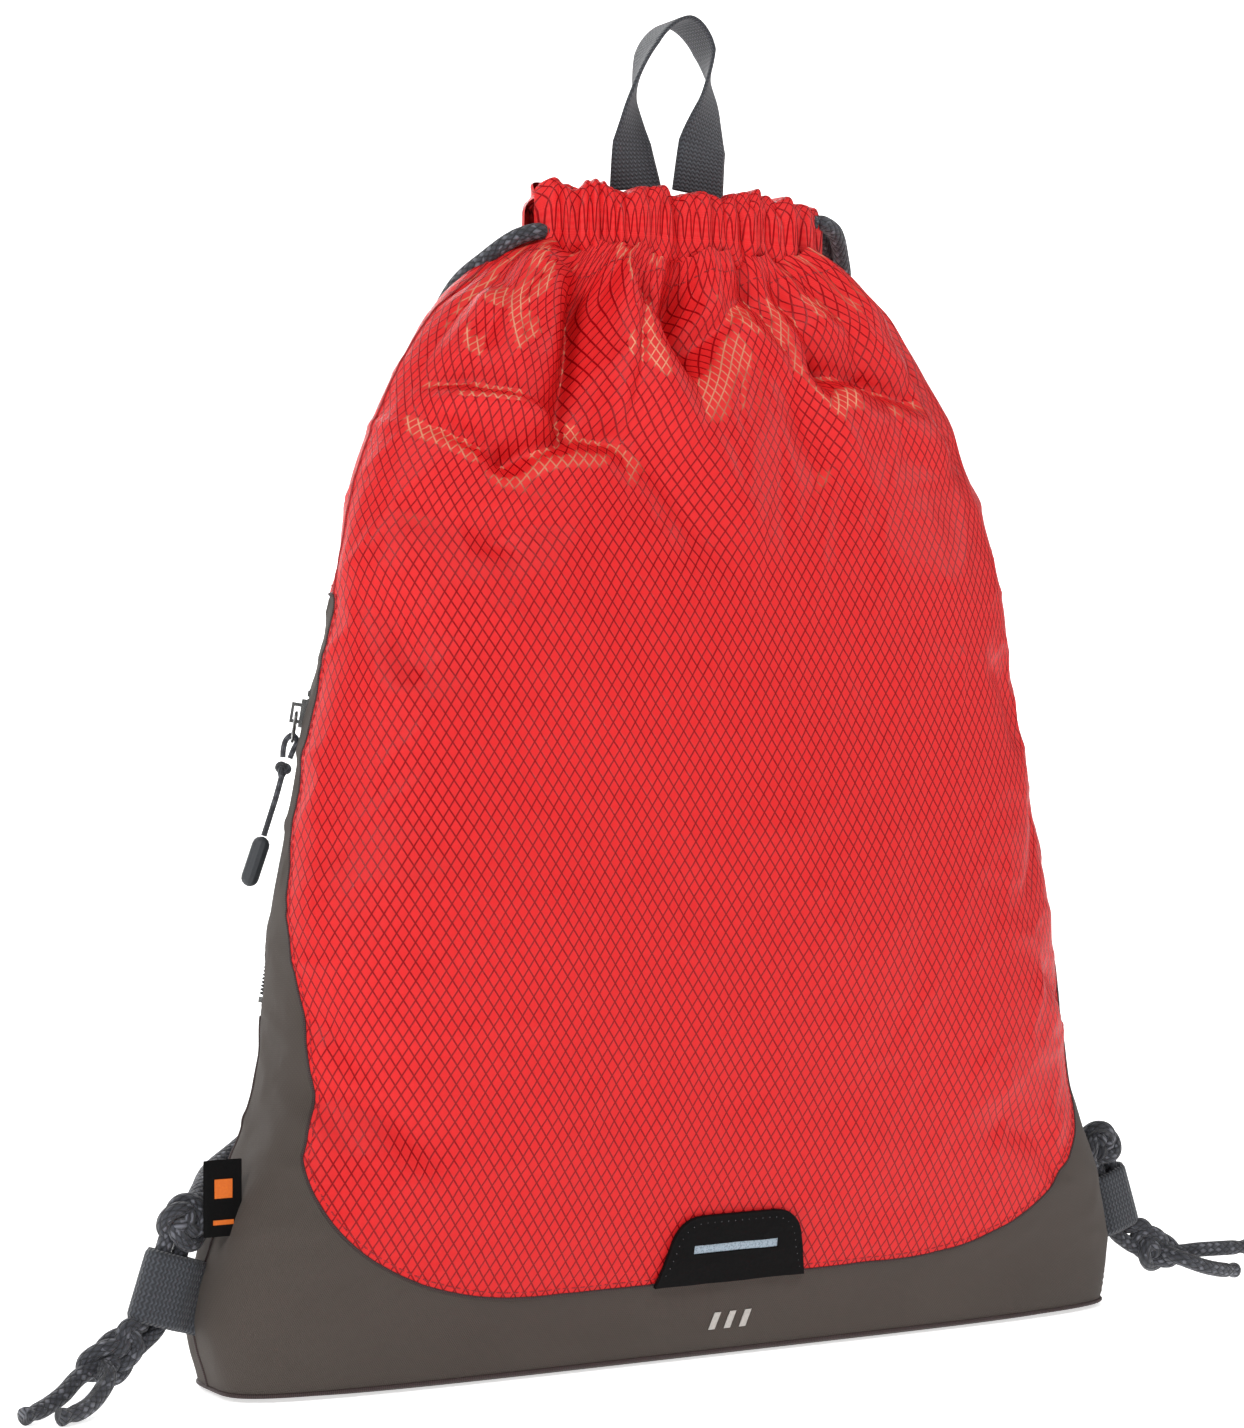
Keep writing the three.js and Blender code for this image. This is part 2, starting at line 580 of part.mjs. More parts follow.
// ---- Zip ----
const TAPE_WIDTH = 6;
const COIL_GAP = 0.55; // half of the gap that the slider's neck runs in
const TAPE_X = 4.8; // depth of the tapes' middle below the zip's line
const COIL_X = 2.45;
for (const [side, word] of [[-1, "front"], [1, "rear"]]) {
  const tapeY = side * (COIL_GAP + TAPE_WIDTH / 2);
  add(`zip_tape_${word}`, box(0.8, TAPE_WIDTH, ZIP_LENGTH, [TAPE_X, tapeY, -ZIP_LENGTH / 2]), zipTape, zip);
  const coilY = side * (COIL_GAP + 0.8);
  add(`zip_coil_${word}`, box(2.3, 1.6, ZIP_LENGTH - 14, [COIL_X, coilY, -ZIP_LENGTH / 2]), coilPlastic, zip);
}
add("zip_top_stop", box(2.2, 5, 2, [COIL_X, 0, -5.6]), metal, zip);
add("zip_bottom_stop", box(2.2, 5, 2, [COIL_X, 0, -ZIP_LENGTH + 5.6]), metal, zip);

// The slider's own origin is the middle of its front plate.
const SLIDER_Z = -13; // its height when the zip is closed
function sliderGeometry() {
  const plate = box(1.2, 8.4, 10);
  const flange = (side) => box(2.6, 1, 10, [1.8, side * 3.4, 0]);
  const neck = box(5.8, 0.6, 3, [3, 0, 2.5]);
  const rear = box(1.2, 7, 8, [6.1, 0, 0]);
  const post = (z) => box(3, 2.4, 1.2, [-1.9, 0, z]);
  const bar = box(1, 2.4, 7.2, [-3.5, 0, 0]);
  return join(plate, flange(-1), flange(1), neck, rear, post(3), post(-3), bar);
}
const slider = new THREE.Group();
slider.position.set(0.4, 0, SLIDER_Z);
zip.add(slider);
add("zip_slider", sliderGeometry(), metal, slider);

// The puller is a wire ring through the slider's bridge; it hangs down against the wall.
const RING_X = -1.9;
const RING_DROP = 10;
const WIRE_R = 0.55;
function ringGeometry() {
  const halfWidth = 3;
  const corners = [
    [-halfWidth, -1.6], [-1.8, 0], [1.8, 0], [halfWidth, -1.6],
    [halfWidth, 1.6 - RING_DROP], [1.8, -RING_DROP], [-1.8, -RING_DROP], [-halfWidth, 1.6 - RING_DROP],
  ];
  const path = new THREE.CatmullRomCurve3(corners.map(([y, z]) => new THREE.Vector3(0, y, z)), true);
  return new THREE.TubeGeometry(path, 32, WIRE_R, 8, true);
}
add("puller_ring", ringGeometry().translate(RING_X, 0, 0), metal, slider);

// The pull: a thin cord doubled through the ring, knotted, with a moulded grip on its end.
const PULL_R = 1.0;
const pull = new THREE.Group();
pull.position.set(RING_X, 0, -RING_DROP);
slider.add(pull);
const pullLoop = [
  [-2.3, 0, -6.2], [-2.6, 0, -3], [-2.1, 0, 0.2], [-0.2, 0, 2.1], [1.7, 0, 0.2], [0.9, 0, -3], [0.2, 0, -6.2],
];
add("pull_cord_loop", tube(pullLoop, PULL_R, 14), cordBraid, pull);
add("pull_cord_knot", knotGeometry(3, 3.6, 3.6).translate(-1.6, 0, -10.4), cordBraid, pull);
for (const [letter, y] of [["a", -1.15], ["b", 1.15]]) {
  const route = [[-1.6, y, -14.4], [-2.4, y, -20], [-3.4, y, -27], [-4.5, y, -34]];
  add(`pull_cord_strand_${letter}`, tube(route, PULL_R, 8), cordBraid, pull);
}
const grip = new THREE.CapsuleGeometry(3.1, 12, 4, 12).rotateX(quarter);
add("pull_grip", grip.rotateY(0.16).translate(-6, 0, -43.8), rubber, pull);

// ---- Pocket pouch behind the zip, open towards the slot ----
function pocketGeometry() {
  const layer = 1.2;
  const deep = 60;
  const tall = ZIP_LENGTH - 24;
  const outer = box(deep, 6, tall, [deep / 2, 0, 0]);
  const hollow = box(deep, 6 - 2 * layer, tall - 2 * layer, [deep / 2 - layer, 0, 0]);
  return cut(outer, hollow).translate(7.5, 0, -ZIP_LENGTH / 2);
}
add("pocket_lining", pocketGeometry(), liningCloth, zip);

export default bag;
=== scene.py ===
import math

import bmesh
import bpy
import numpy as np
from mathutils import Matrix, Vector


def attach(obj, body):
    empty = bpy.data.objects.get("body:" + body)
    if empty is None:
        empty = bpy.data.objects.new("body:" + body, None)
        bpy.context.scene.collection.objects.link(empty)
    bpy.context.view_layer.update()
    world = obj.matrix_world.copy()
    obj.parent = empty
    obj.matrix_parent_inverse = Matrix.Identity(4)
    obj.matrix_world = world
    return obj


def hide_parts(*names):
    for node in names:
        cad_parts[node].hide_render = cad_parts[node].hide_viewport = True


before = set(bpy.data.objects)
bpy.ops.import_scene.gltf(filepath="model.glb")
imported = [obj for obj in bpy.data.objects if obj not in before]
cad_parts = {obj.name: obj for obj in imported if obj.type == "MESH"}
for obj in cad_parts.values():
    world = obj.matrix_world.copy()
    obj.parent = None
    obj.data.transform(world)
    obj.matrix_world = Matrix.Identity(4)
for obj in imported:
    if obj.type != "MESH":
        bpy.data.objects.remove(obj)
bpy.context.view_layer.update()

MM = 0.001
TURN = 2 * math.pi

# ---- Driving sizes, in metres, as in the CAD ----
FOOT = 0.0021  # lower edge of the panels
PANEL_TOP = 0.3975
SEAM_LOW = 0.030
CORNER_TOP = 0.084
CORNER_RUN = 0.087
SEAM_DEPTH = 0.026
SIDE_SEAM_Y = 0.004
TAPER_TOP = 0.215
BACK_SEAM_ARCH = 0.246
GUSSET_TOP = 0.276
SEAM_KINK = (0.055, 0.086)
ZIP_Y = 0.017
TAB_Y = 0.002
ZIP_TOP = 0.246
ZIP_FOOT = 0.128
ZIP_WINDOW = 0.010
ZIP_TURN = math.radians(26)
HEM_HALF_WIDTH = 0.052
HEM_HALF_DEPTH = 0.015
HEM_THICK = 0.010
HEM_LOW = 0.398
HEM_HIGH = 0.424
HEM_MOUTH = 0.02
LOW_RUN_Z = 0.406
HIGH_RUN_Z = 0.417
CORD_R = 0.003
WEB_WIDTH = 0.025
WEB_THICK = 0.0016

# Half width, half depth and squareness of the body at each height.
STATIONS = (
    (0.000, 0.186, 0.0300, 4.5),
    (0.025, 0.191, 0.0330, 4.2),
    (0.052, 0.185, 0.0400, 3.8),
    (0.090, 0.171, 0.0480, 3.2),
    (0.140, 0.164, 0.0530, 2.8),
    (0.200, 0.154, 0.0540, 2.55),
    (0.260, 0.144, 0.0500, 2.4),
    (0.310, 0.133, 0.0430, 2.35),
    (0.350, 0.115, 0.0355, 2.3),
    (0.378, 0.094, 0.0285, 2.3),
    (0.390, 0.078, 0.0245, 2.3),
    (0.398, 0.058, 0.0205, 2.3),
)

# Routes of the +X side's strands: x, y, and z from the tunnel's exit downwards.
STRAND_ROUTES = {
    "a": (
        (0.0588, -0.004, 0), (0.062, -0.004, 0), (0.069, -0.001, -0.0026), (0.076, 0.006, -0.009),
        (0.084, 0.016, -0.019), (0.088, 0.028, -0.036), (0.090, 0.040, -0.060), (0.090, 0.050, -0.092),
        (0.089, 0.058, -0.132), (0.089, 0.063, -0.178), (0.093, 0.065, -0.222), (0.102, 0.065, -0.260),
        (0.116, 0.062, -0.290), (0.134, 0.054, -0.311), (0.154, 0.043, -0.325), (0.174, 0.029, -0.333),
        (0.184, 0.015, -0.337), (0.1902, 0.0063, -0.3404),
    ),
    "b": (
        (0.0588, 0.004, 0), (0.062, 0.004, 0), (0.069, 0.008, -0.0046), (0.076, 0.016, -0.012),
        (0.082, 0.027, -0.024), (0.084, 0.039, -0.043), (0.084, 0.050, -0.068), (0.083, 0.059, -0.100),
        (0.081, 0.066, -0.140), (0.080, 0.070, -0.184), (0.083, 0.073, -0.228), (0.092, 0.072, -0.268),
        (0.107, 0.069, -0.300), (0.126, 0.062, -0.323), (0.148, 0.050, -0.338), (0.170, 0.038, -0.345),
        (0.185, 0.0235, -0.347), (0.1916, 0.0091, -0.3485),
    ),
}
TAIL_ROUTES = {
    ("left", "a"): (
        (0.2355, -0.004, 0.012), (0.243, -0.008, 0.0075), (0.251, -0.011, 0.0042), (0.259, -0.015, 0.0032),
    ),
    ("left", "b"): (
        (0.228, -0.0105, 0.012), (0.234, -0.015, 0.0065), (0.241, -0.019, 0.0038), (0.249, -0.022, 0.0032),
    ),
    ("right", "a"): (
        (0.235, -0.003, 0.0145), (0.243, -0.005, 0.015), (0.254, -0.007, 0.015), (0.265, -0.009, 0.015),
    ),
    ("right", "b"): (
        (0.229, -0.0105, 0.0135), (0.238, -0.013, 0.010), (0.248, -0.012, 0.0075), (0.258, -0.009, 0.006),
    ),
}
UPPER_KNOT = (0.196, 0.0, 0.060)
LOWER_KNOT = (0.223, -0.001, 0.0165)
TAB_SEAM = Vector((0.183, TAB_Y, 0.031))
TAB_LEAN = math.radians(18)
TAB_REACH = 0.022
TAB_END = 0.031
TAB_ALONG = Vector((math.cos(TAB_LEAN), 0, math.sin(TAB_LEAN)))
TAB_ACROSS = Vector((math.sin(TAB_LEAN), 0, -math.cos(TAB_LEAN)))
SIDES = ((-1, "left"), (1, "right"))


# ---- Small tools ----
def ease(value, start, end):
    """0 before start, 1 after end, smooth between."""
    t = np.clip((np.asarray(value, float) - start) / (end - start), 0, 1)
    return t * t * (3 - 2 * t)


def bump(distance, width):
    """1 in the middle, falling smoothly to 0 over about twice the width."""
    return np.exp(-((distance / width) ** 2))


def fold(distance, width):
    """The profile across a fold: steep on one side and easy on the other."""
    return np.where(distance > 0, bump(distance, width), np.exp(-np.abs(distance) / (1.5 * width)))


def soft_noise(x, y, cell, seed):
    """Smooth noise from -1 to 1 over a plane, repeatable."""
    size = 64
    lattice = np.random.default_rng(seed).uniform(-1, 1, (size, size))
    u, v = np.asarray(x, float) / cell, np.asarray(y, float) / cell
    i, j = np.floor(u).astype(int), np.floor(v).astype(int)
    fu, fv = u - i, v - j
    fu, fv = fu * fu * (3 - 2 * fu), fv * fv * (3 - 2 * fv)
    at = lambda a, b: lattice[a % size, b % size]
    low = at(i, j) * (1 - fu) + at(i + 1, j) * fu
    high = at(i, j + 1) * (1 - fu) + at(i + 1, j + 1) * fu
    return low * (1 - fv) + high * fv


def smooth_path(points, step):
    """A smooth curve through the points (Catmull-Rom), as points about a step apart."""
    p = np.array(points, float)
    p = np.vstack([2 * p[0] - p[1], p, 2 * p[-1] - p[-2]])
    out = []
    for i in range(1, len(p) - 2):
        a, b, c, d = p[i - 1 : i + 3]
        count = max(2, math.ceil(np.linalg.norm(c - b) / step))
        for t in np.arange(count) / count:
            square, cube = 2 * a - 5 * b + 4 * c - d, 3 * b - a - 3 * c + d
            out.append(0.5 * (2 * b + (c - a) * t + square * t**2 + cube * t**3))
    out.append(p[-2])
    return np.array(out)


def lengths_along(points):
    """The length of a line of points up to each of them."""
    return np.concatenate([[0], np.cumsum(np.linalg.norm(np.diff(points, axis=0), axis=1))])


def unit(vectors):
    """The vectors along the last axis, each with length 1."""
    return vectors / np.maximum(np.linalg.norm(vectors, axis=-1, keepdims=True), 1e-9)


def new_mesh(name, points, faces, material, attributes=None, smooth=True):
    """A mesh object with its material and named point attributes."""
    mesh = bpy.data.meshes.new(name)
    mesh.from_pydata(np.asarray(points, float).tolist(), [], faces)
    for key, values in (attributes or {}).items():
        layer = mesh.attributes.new(key, "FLOAT_VECTOR", "POINT")
        layer.data.foreach_set("vector", np.asarray(values, np.float32).reshape(-1))
    mesh.materials.append(material)
    mesh.polygons.foreach_set("use_smooth", [smooth] * len(mesh.polygons))
    mesh.update()
    obj = bpy.data.objects.new(name, mesh)
    bpy.context.scene.collection.objects.link(obj)
    return obj


def grid_faces(rows, columns, closed=False):
    """The squares of a grid of points, listed row by row; a closed grid joins its last column to its first."""
    faces = []
    for i in range(rows - 1):
        for j in range(columns if closed else columns - 1):
            k = (j + 1) % columns
            faces.append((i * columns + j, i * columns + k, (i + 1) * columns + k, (i + 1) * columns + j))
    return faces


def on_bag(obj, slot, *nodes, body="bag"):
    """Files a finished piece: hides the CAD nodes it replaces and hangs it on its body; its material slot is
    not used.
    """
    if nodes:
        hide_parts(*nodes)
    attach(obj, body)
    return obj


def frames_along(points):
    """A tangent and two side directions at each point, carried along without twisting."""
    p = np.asarray(points, float)
    tangents = unit(np.gradient(p, axis=0))
    side = np.cross(tangents[0], (0.31, 0.87, 0.39))
    sides = []
    for t in tangents:
        side = side - t * side.dot(t)
        side /= np.linalg.norm(side)
        sides.append(side)
    sides = np.array(sides)
    return tangents, sides, np.cross(tangents, sides)


def tube_mesh(name, points, radius, material, sides=16, ends=True, plump=None):
    """A round tube along points, with 'braid' coordinates: length along it and turn round it."""
    p = np.asarray(points, float)
    _, u, v = frames_along(p)
    along = lengths_along(p)
    angles = np.arange(sides) * TURN / sides
    radii = np.full(len(p), radius) if plump is None else radius * plump(along / along[-1])
    ring = np.cos(angles)[None, :, None] * u[:, None] + np.sin(angles)[None, :, None] * v[:, None]
    places = p[:, None] + ring * radii[:, None, None]
    braid = np.zeros((len(p), sides, 3))
    braid[..., 0] = along[:, None]
    braid[..., 1] = angles[None, :]
    places, braid = places.reshape(-1, 3), braid.reshape(-1, 3)
    faces = grid_faces(len(p), sides, closed=True)
    if ends:
        faces.append(tuple(range(sides))[::-1])
        faces.append(tuple((len(p) - 1) * sides + k for k in range(sides)))
    return new_mesh(name, places, faces, material, {"braid": braid})


# ---- Materials ----
def linear(r, g, b):
    """An sRGB colour of 0 to 255 as linear values."""
    shares = [c / 255 for c in (r, g, b)]
    return tuple(c / 12.92 if c <= 0.04045 else ((c + 0.055) / 1.055) ** 2.4 for c in shares) + (1,)


class Nodes:
    """A short way to write a material's node tree."""

    def __init__(self, name, roughness=0.6, metallic=0.0, **sockets):
        self.material = bpy.data.materials.new(name)
        self.material.use_nodes = True
        self.tree = self.material.node_tree
        self.shader = self.tree.nodes["Principled BSDF"]
        self.shader.inputs["Roughness"].default_value = roughness
        self.shader.inputs["Metallic"].default_value = metallic
        for key, value in sockets.items():
            self.shader.inputs[key.replace("_", " ")].default_value = value

    def link(self, source, target):
        self.tree.links.new(source, target)

    def put(self, socket, value):
        if isinstance(value, (int, float)):
            socket.default_value = value
        else:
            self.link(value, socket)

    def math(self, operation, a, b=None):
        node = self.tree.nodes.new("ShaderNodeMath")
        node.operation = operation
        self.put(node.inputs[0], a)
        if b is not None:
            self.put(node.inputs[1], b)
        return node.outputs[0]

    def times(self, a, b):
        return self.math("MULTIPLY", a, b)

    def plus(self, a, b):
        return self.math("ADD", a, b)

    def coordinates(self, name):
        """The x, y and z of a named point attribute."""
        attribute = self.tree.nodes.new("ShaderNodeAttribute")
        attribute.attribute_name = name
        split = self.tree.nodes.new("ShaderNodeSeparateXYZ")
        self.link(attribute.outputs["Vector"], split.inputs[0])
        return split.outputs

    def place(self):
        return self.tree.nodes.new("ShaderNodeTexCoord").outputs["Object"]

    def noise(self, scale, detail=3.0, vector=None):
        node = self.tree.nodes.new("ShaderNodeTexNoise")
        node.inputs["Scale"].default_value = scale
        node.inputs["Detail"].default_value = detail
        self.link(vector or self.place(), node.inputs["Vector"])
        return node.outputs["Fac"]

    def wave(self, value, pitch):
        """A smooth wave from 0 to 1 with the given pitch."""
        turned = self.times(value, TURN / pitch)
        return self.times(self.plus(self.math("SINE", turned), 1.0), 0.5)

    def ramp(self, value, start, end, kind="LINEAR"):
        """0 where value is start or before it, 1 where it is end or past it."""
        node = self.tree.nodes.new("ShaderNodeMapRange")
        node.interpolation_type = kind
        node.inputs["From Min"].default_value = start
        node.inputs["From Max"].default_value = end
        self.link(value, node.inputs["Value"])
        return node.outputs[0]

    def line(self, value, pitch, share):
        """1 on a thin line that repeats at each pitch, and 0 between; share is the line's share of it."""
        near = self.math("PINGPONG", self.math("DIVIDE", value, pitch), 0.5)
        return self.ramp(near, share * 0.75, share * 0.35)

    def mix(self, factor, first, second):
        node = self.tree.nodes.new("ShaderNodeMix")
        node.data_type = "RGBA"
        self.put(node.inputs["Factor"], factor)
        for socket, value in ((node.inputs["A"], first), (node.inputs["B"], second)):
            if isinstance(value, tuple):
                socket.default_value = value
            else:
                self.link(value, socket)
        return node.outputs["Result"]

    def glance(self, direction, low, high):
        """1 where the surface faces the given way, and 0 where it doesn't."""
        turned = self.tree.nodes.new("ShaderNodeVectorMath")
        turned.operation = "DOT_PRODUCT"
        turned.inputs[1].default_value = Vector(direction).normalized()
        self.link(self.tree.nodes.new("ShaderNodeNewGeometry").outputs["Normal"], turned.inputs[0])
        return self.ramp(turned.outputs["Value"], low, high, "SMOOTHSTEP")

    def span(self, value, low, high):
        """value from 0 to 1 turned into low to high."""
        return self.plus(self.times(value, high - low), low)

    def finish(self, colour, height=None, depth=0.0002, roughness=None):
        self.put_colour(colour)
        if roughness is not None:
            self.link(roughness, self.shader.inputs["Roughness"])
        if height is not None:
            relief = self.tree.nodes.new("ShaderNodeBump")
            relief.inputs["Distance"].default_value = depth
            relief.inputs["Strength"].default_value = 1.0
            self.link(height, relief.inputs["Height"])
            self.link(relief.outputs[0], self.shader.inputs["Normal"])
        return self.material

    def put_colour(self, colour):
        if isinstance(colour, tuple):
            self.shader.inputs["Base Color"].default_value = colour
        else:
            self.link(colour, self.shader.inputs["Base Color"])


NET_WIDE, NET_TALL = 0.0042, 0.0065  # the size of one diamond of the net
PAINTED_GLINT_WAY = (-0.22, -0.74, 0.62)  # painted highlight: folds whose surface faces this way get a pale colour painted on
PAINTED_GLINT_HEIGHTS = (0.300, 0.335)  # the painted highlight is only put on cloth cut above these heights, fading in between them


def ripstop_material():
    """Red nylon: fine flat cells in a raised net of thin diagonal threads, with a painted highlight where
    folds face one way.
    """
    n = Nodes("red_ripstop_cloth", roughness=0.5, Specular_IOR_Level=0.28)
    across, along, _ = n.coordinates("flat")
    a, b = n.math("DIVIDE", across, NET_WIDE), n.math("DIVIDE", along, NET_TALL)
    rising, falling = (n.line(value, 1.0, 0.14) for value in (n.plus(a, b), n.math("SUBTRACT", a, b)))
    lines = n.math("MAXIMUM", rising, falling)
    weave = n.wave(along, 0.00042)
    weft = n.wave(across, 0.00055)
    shade = n.noise(9.0, 2.0)
    cell = n.mix(shade, linear(220, 20, 27), linear(230, 28, 32))
    cell = n.mix(n.times(weave, 0.22), cell, linear(236, 76, 68))
    # Painted highlight: where the surface faces one fixed way, high on the cloth, the cells are tinted pale
    # red and the net's threads turn pale peach.
    painted_glint = n.times(n.glance(PAINTED_GLINT_WAY, 0.90, 0.97), n.span(n.noise(22.0, 1.0), 0.2, 1.3))
    painted_glint = n.times(painted_glint, n.ramp(along, *PAINTED_GLINT_HEIGHTS))
    cell = n.mix(n.times(painted_glint, 0.22), cell, linear(244, 104, 92))
    net = n.mix(n.math("MINIMUM", painted_glint, 1.0), linear(148, 2, 12), linear(250, 176, 138))
    colour = n.mix(lines, cell, net)
    height = n.plus(n.times(lines, 0.9), n.times(n.plus(weave, weft), 0.12))
    roughness = n.math("SUBTRACT", 0.52, n.times(lines, 0.26))
    return n.finish(colour, height, 0.00016, roughness)


def twill_material():
    """Taupe polyester with a fine steep twill."""
    n = Nodes("taupe_twill_cloth", roughness=0.8, Sheen_Weight=0.05, Specular_IOR_Level=0.25)
    across, along, _ = n.coordinates("flat")
    twill = n.wave(n.plus(n.times(across, 1.4), along), 0.0011)
    weft = n.wave(n.math("SUBTRACT", across, n.times(along, 0.35)), 0.0007)
    shade = n.noise(14.0, 3.0)
    base = n.mix(shade, linear(76, 68, 63), linear(91, 83, 77))
    threads = n.times(n.plus(twill, weft), 0.5)
    colour = n.mix(n.times(threads, 0.6), base, linear(56, 50, 46))
    return n.finish(colour, threads, 0.00012)


def webbing_material(name, dark, light):
    """Woven strap: ribs across it, with fine threads along."""
    n = Nodes(name, roughness=0.75, Sheen_Weight=0.2)
    across, along, _ = n.coordinates("flat")
    columns = n.wave(across, 0.0022)
    ribs = n.wave(n.plus(along, n.times(columns, 0.0006)), 0.0015)
    shade = n.noise(400.0, 2.0)
    threads = n.times(ribs, n.span(columns, 0.55, 1.0))
    colour = n.mix(threads, dark, light)
    colour = n.mix(n.times(shade, 0.3), colour, dark)
    return n.finish(colour, threads, 0.0003)


def braid_material():
    """Round braided cord: plaits that cross, with pale flecks."""
    n = Nodes("cord_braid_dark", roughness=0.72, Sheen_Weight=0.2)
    along, turn, _ = n.coordinates("braid")
    climb = n.times(along, TURN / 0.0068)
    around = n.times(turn, 4.0)
    right, left = n.math("SINE", n.plus(around, climb)), n.math("SINE", n.math("SUBTRACT", around, climb))
    plaits = n.math("ABSOLUTE", n.times(right, left))
    plaits = n.math("POWER", plaits, 0.5)
    which = n.math("GREATER_THAN", n.times(right, left), 0.0)
    fleck = n.times(which, n.math("GREATER_THAN", n.noise(210.0, 1.0), 0.52))
    base = n.mix(plaits, linear(16, 17, 20), linear(62, 64, 72))
    colour = n.mix(n.times(fleck, n.times(plaits, 0.55)), base, linear(138, 140, 150))
    return n.finish(colour, plaits, 0.0005)


def plain_material(name, dark, light, roughness=0.5, grain=600.0, depth=0.00005, metallic=0.0, gloss=0.5):
    """A moulded or coated surface: two close shades in a fine grain."""
    n = Nodes(name, roughness=roughness, metallic=metallic, Specular_IOR_Level=gloss)
    grain_height = n.noise(grain, 4.0)
    colour = n.mix(grain_height, linear(*dark), linear(*light))
    return n.finish(colour, grain_height, depth, n.span(grain_height, roughness * 0.8, roughness * 1.2))


def thread_material(name, colour_dark, colour_light):
    """Sewing thread, with its twist as slanting stripes."""
    n = Nodes(name, roughness=0.6)
    along, turn, _ = n.coordinates("braid")
    ply = n.wave(n.plus(along, n.times(turn, 0.00012)), 0.0007)
    return n.finish(n.mix(ply, colour_dark, colour_light), ply, 0.00008)


RED = ripstop_material()
TAUPE = twill_material()
WEBBING = webbing_material("slate_webbing", linear(38, 40, 45), linear(82, 86, 94))
ZIP_TAPE = webbing_material("zip_tape_cloth", linear(30, 27, 25), linear(56, 52, 48))
BRAID = braid_material()
RED_THREAD = thread_material("red_thread", linear(110, 4, 12), linear(190, 30, 36))
SEAM_THREAD = thread_material("seam_thread", linear(26, 18, 18), linear(70, 48, 46))
GREY_THREAD = thread_material("grey_thread", linear(40, 40, 42), linear(88, 88, 92))
BLACK = plain_material("black_trim_coated", (4, 4, 4), (11, 11, 12), 0.8, 900.0, gloss=0.15)
REFLECTIVE = plain_material("reflective_film", (128, 150, 164), (168, 188, 200), 0.28, 1500.0, metallic=0.3)
SILVER_PRINT = plain_material("silver_print", (168, 166, 160), (205, 203, 198), 0.35, 1200.0, metallic=0.3)
ORANGE = plain_material("orange_thread_print", (214, 96, 18), (238, 124, 30), 0.6, 1500.0)
METAL = plain_material("zip_metal_polished", (150, 150, 150), (190, 190, 188), 0.25, 300.0, 0.00001, 1.0)
COIL = plain_material("zip_coil_nylon", (18, 17, 16), (40, 37, 35), 0.4, 800.0)
RUBBER = plain_material("grip_rubber", (48, 51, 54), (66, 69, 73), 0.6, 1400.0)
LINING = plain_material("pocket_lining_cloth", (52, 49, 46), (70, 66, 62), 0.8, 1000.0)


# ---- The body's surface ----
def section(z):
    """Half width, half depth and squareness at heights z, by a cubic through the stations."""
    z = np.asarray(z, float)
    table = np.array(STATIONS)
    heights, values = table[:, 0], table[:, 1:]
    last = len(table) - 1
    i = np.clip(np.searchsorted(heights, z, side="left") - 1, 0, last - 1)
    before, after = np.maximum(i - 1, 0), np.minimum(i + 2, last)
    span = (heights[i + 1] - heights[i])[..., None]
    t = (z - heights[i])[..., None] / span
    slope_low = (values[i + 1] - values[before]) / (heights[i + 1] - heights[before])[..., None] * span
    slope_high = (values[after] - values[i]) / (heights[after] - heights[i])[..., None] * span
    value = values[i] * (1 + 2 * t) * (1 - t) ** 2 + slope_low * t * (1 - t) ** 2
    value = value + values[i + 1] * t * t * (3 - 2 * t) + slope_high * t * t * (t - 1)
    return value[..., 0], value[..., 1], value[..., 2]


# Angles from the front's middle to the back's middle, closest where the outline is flattest.
QUADRANT = math.pi / 4 * (1 - np.cos(np.pi * np.linspace(0, 1, 161)))
HALF_TURN = np.concatenate([QUADRANT, QUADRANT[1:] + math.pi / 2])


def half_ring(z):
    """The +X half of the section at height z: share of the way round (0 to 0.5), x, y and the way round."""
    w, d, n = (float(v) for v in section(z))
    x = w * np.abs(np.sin(HALF_TURN)) ** (2 / n)
    y = -d * np.sign(np.cos(HALF_TURN)) * np.abs(np.cos(HALF_TURN)) ** (2 / n)
    lengths = np.concatenate([[0], np.cumsum(np.hypot(np.diff(x), np.diff(y)))])
    return 0.5 * lengths / lengths[-1], x, y, 2 * lengths[-1]


def share_at_y(y, z):
    """The share of the way round at which the outline at height z has this y."""
    share, _, ys, _ = half_ring(z)
    return float(np.interp(y, ys, share))


def share_at_x(x, z):
    """The share of the way round at which the front's outline at height z has this x."""
    share, xs, _, _ = half_ring(z)
    front = share <= 0.25
    return float(np.interp(x, xs[front], share[front]))


def share_at(x, z):
    """The share of the way round of a place on the front, negative on the left."""
    return math.copysign(share_at_x(abs(x), z), x)


def corner_x():
    """Where the seam between the front and the boot turns down at the corner."""
    w, d, n = (float(v) for v in section(CORNER_TOP))
    return w * (1 - (SEAM_DEPTH / d) ** n) ** (1 / n)


def front_seam(z):
    """The seam between the front and the boot, as a share of the way round at height z."""
    if z >= CORNER_TOP:
        t = float(ease(z, CORNER_TOP, TAPER_TOP))
        return share_at_y(-SEAM_DEPTH + (SIDE_SEAM_Y + SEAM_DEPTH) * t, z)
    drop = (CORNER_TOP - z) / (CORNER_TOP - SEAM_LOW)
    return share_at_x(corner_x() - CORNER_RUN * (1 - math.sqrt(max(0.0, 1 - drop * drop))), z)


def back_seam(z):
    """The boot's rear seam, and above the boot the side seam."""
    rise = min(max((z - BACK_SEAM_ARCH) / (GUSSET_TOP - BACK_SEAM_ARCH), 0.0), 1.0)
    low = TAB_Y + (ZIP_Y - TAB_Y) * float(ease(z, *SEAM_KINK))
    return share_at_y(SIDE_SEAM_Y + (low - SIDE_SEAM_Y) * math.sqrt(1 - rise * rise), z)
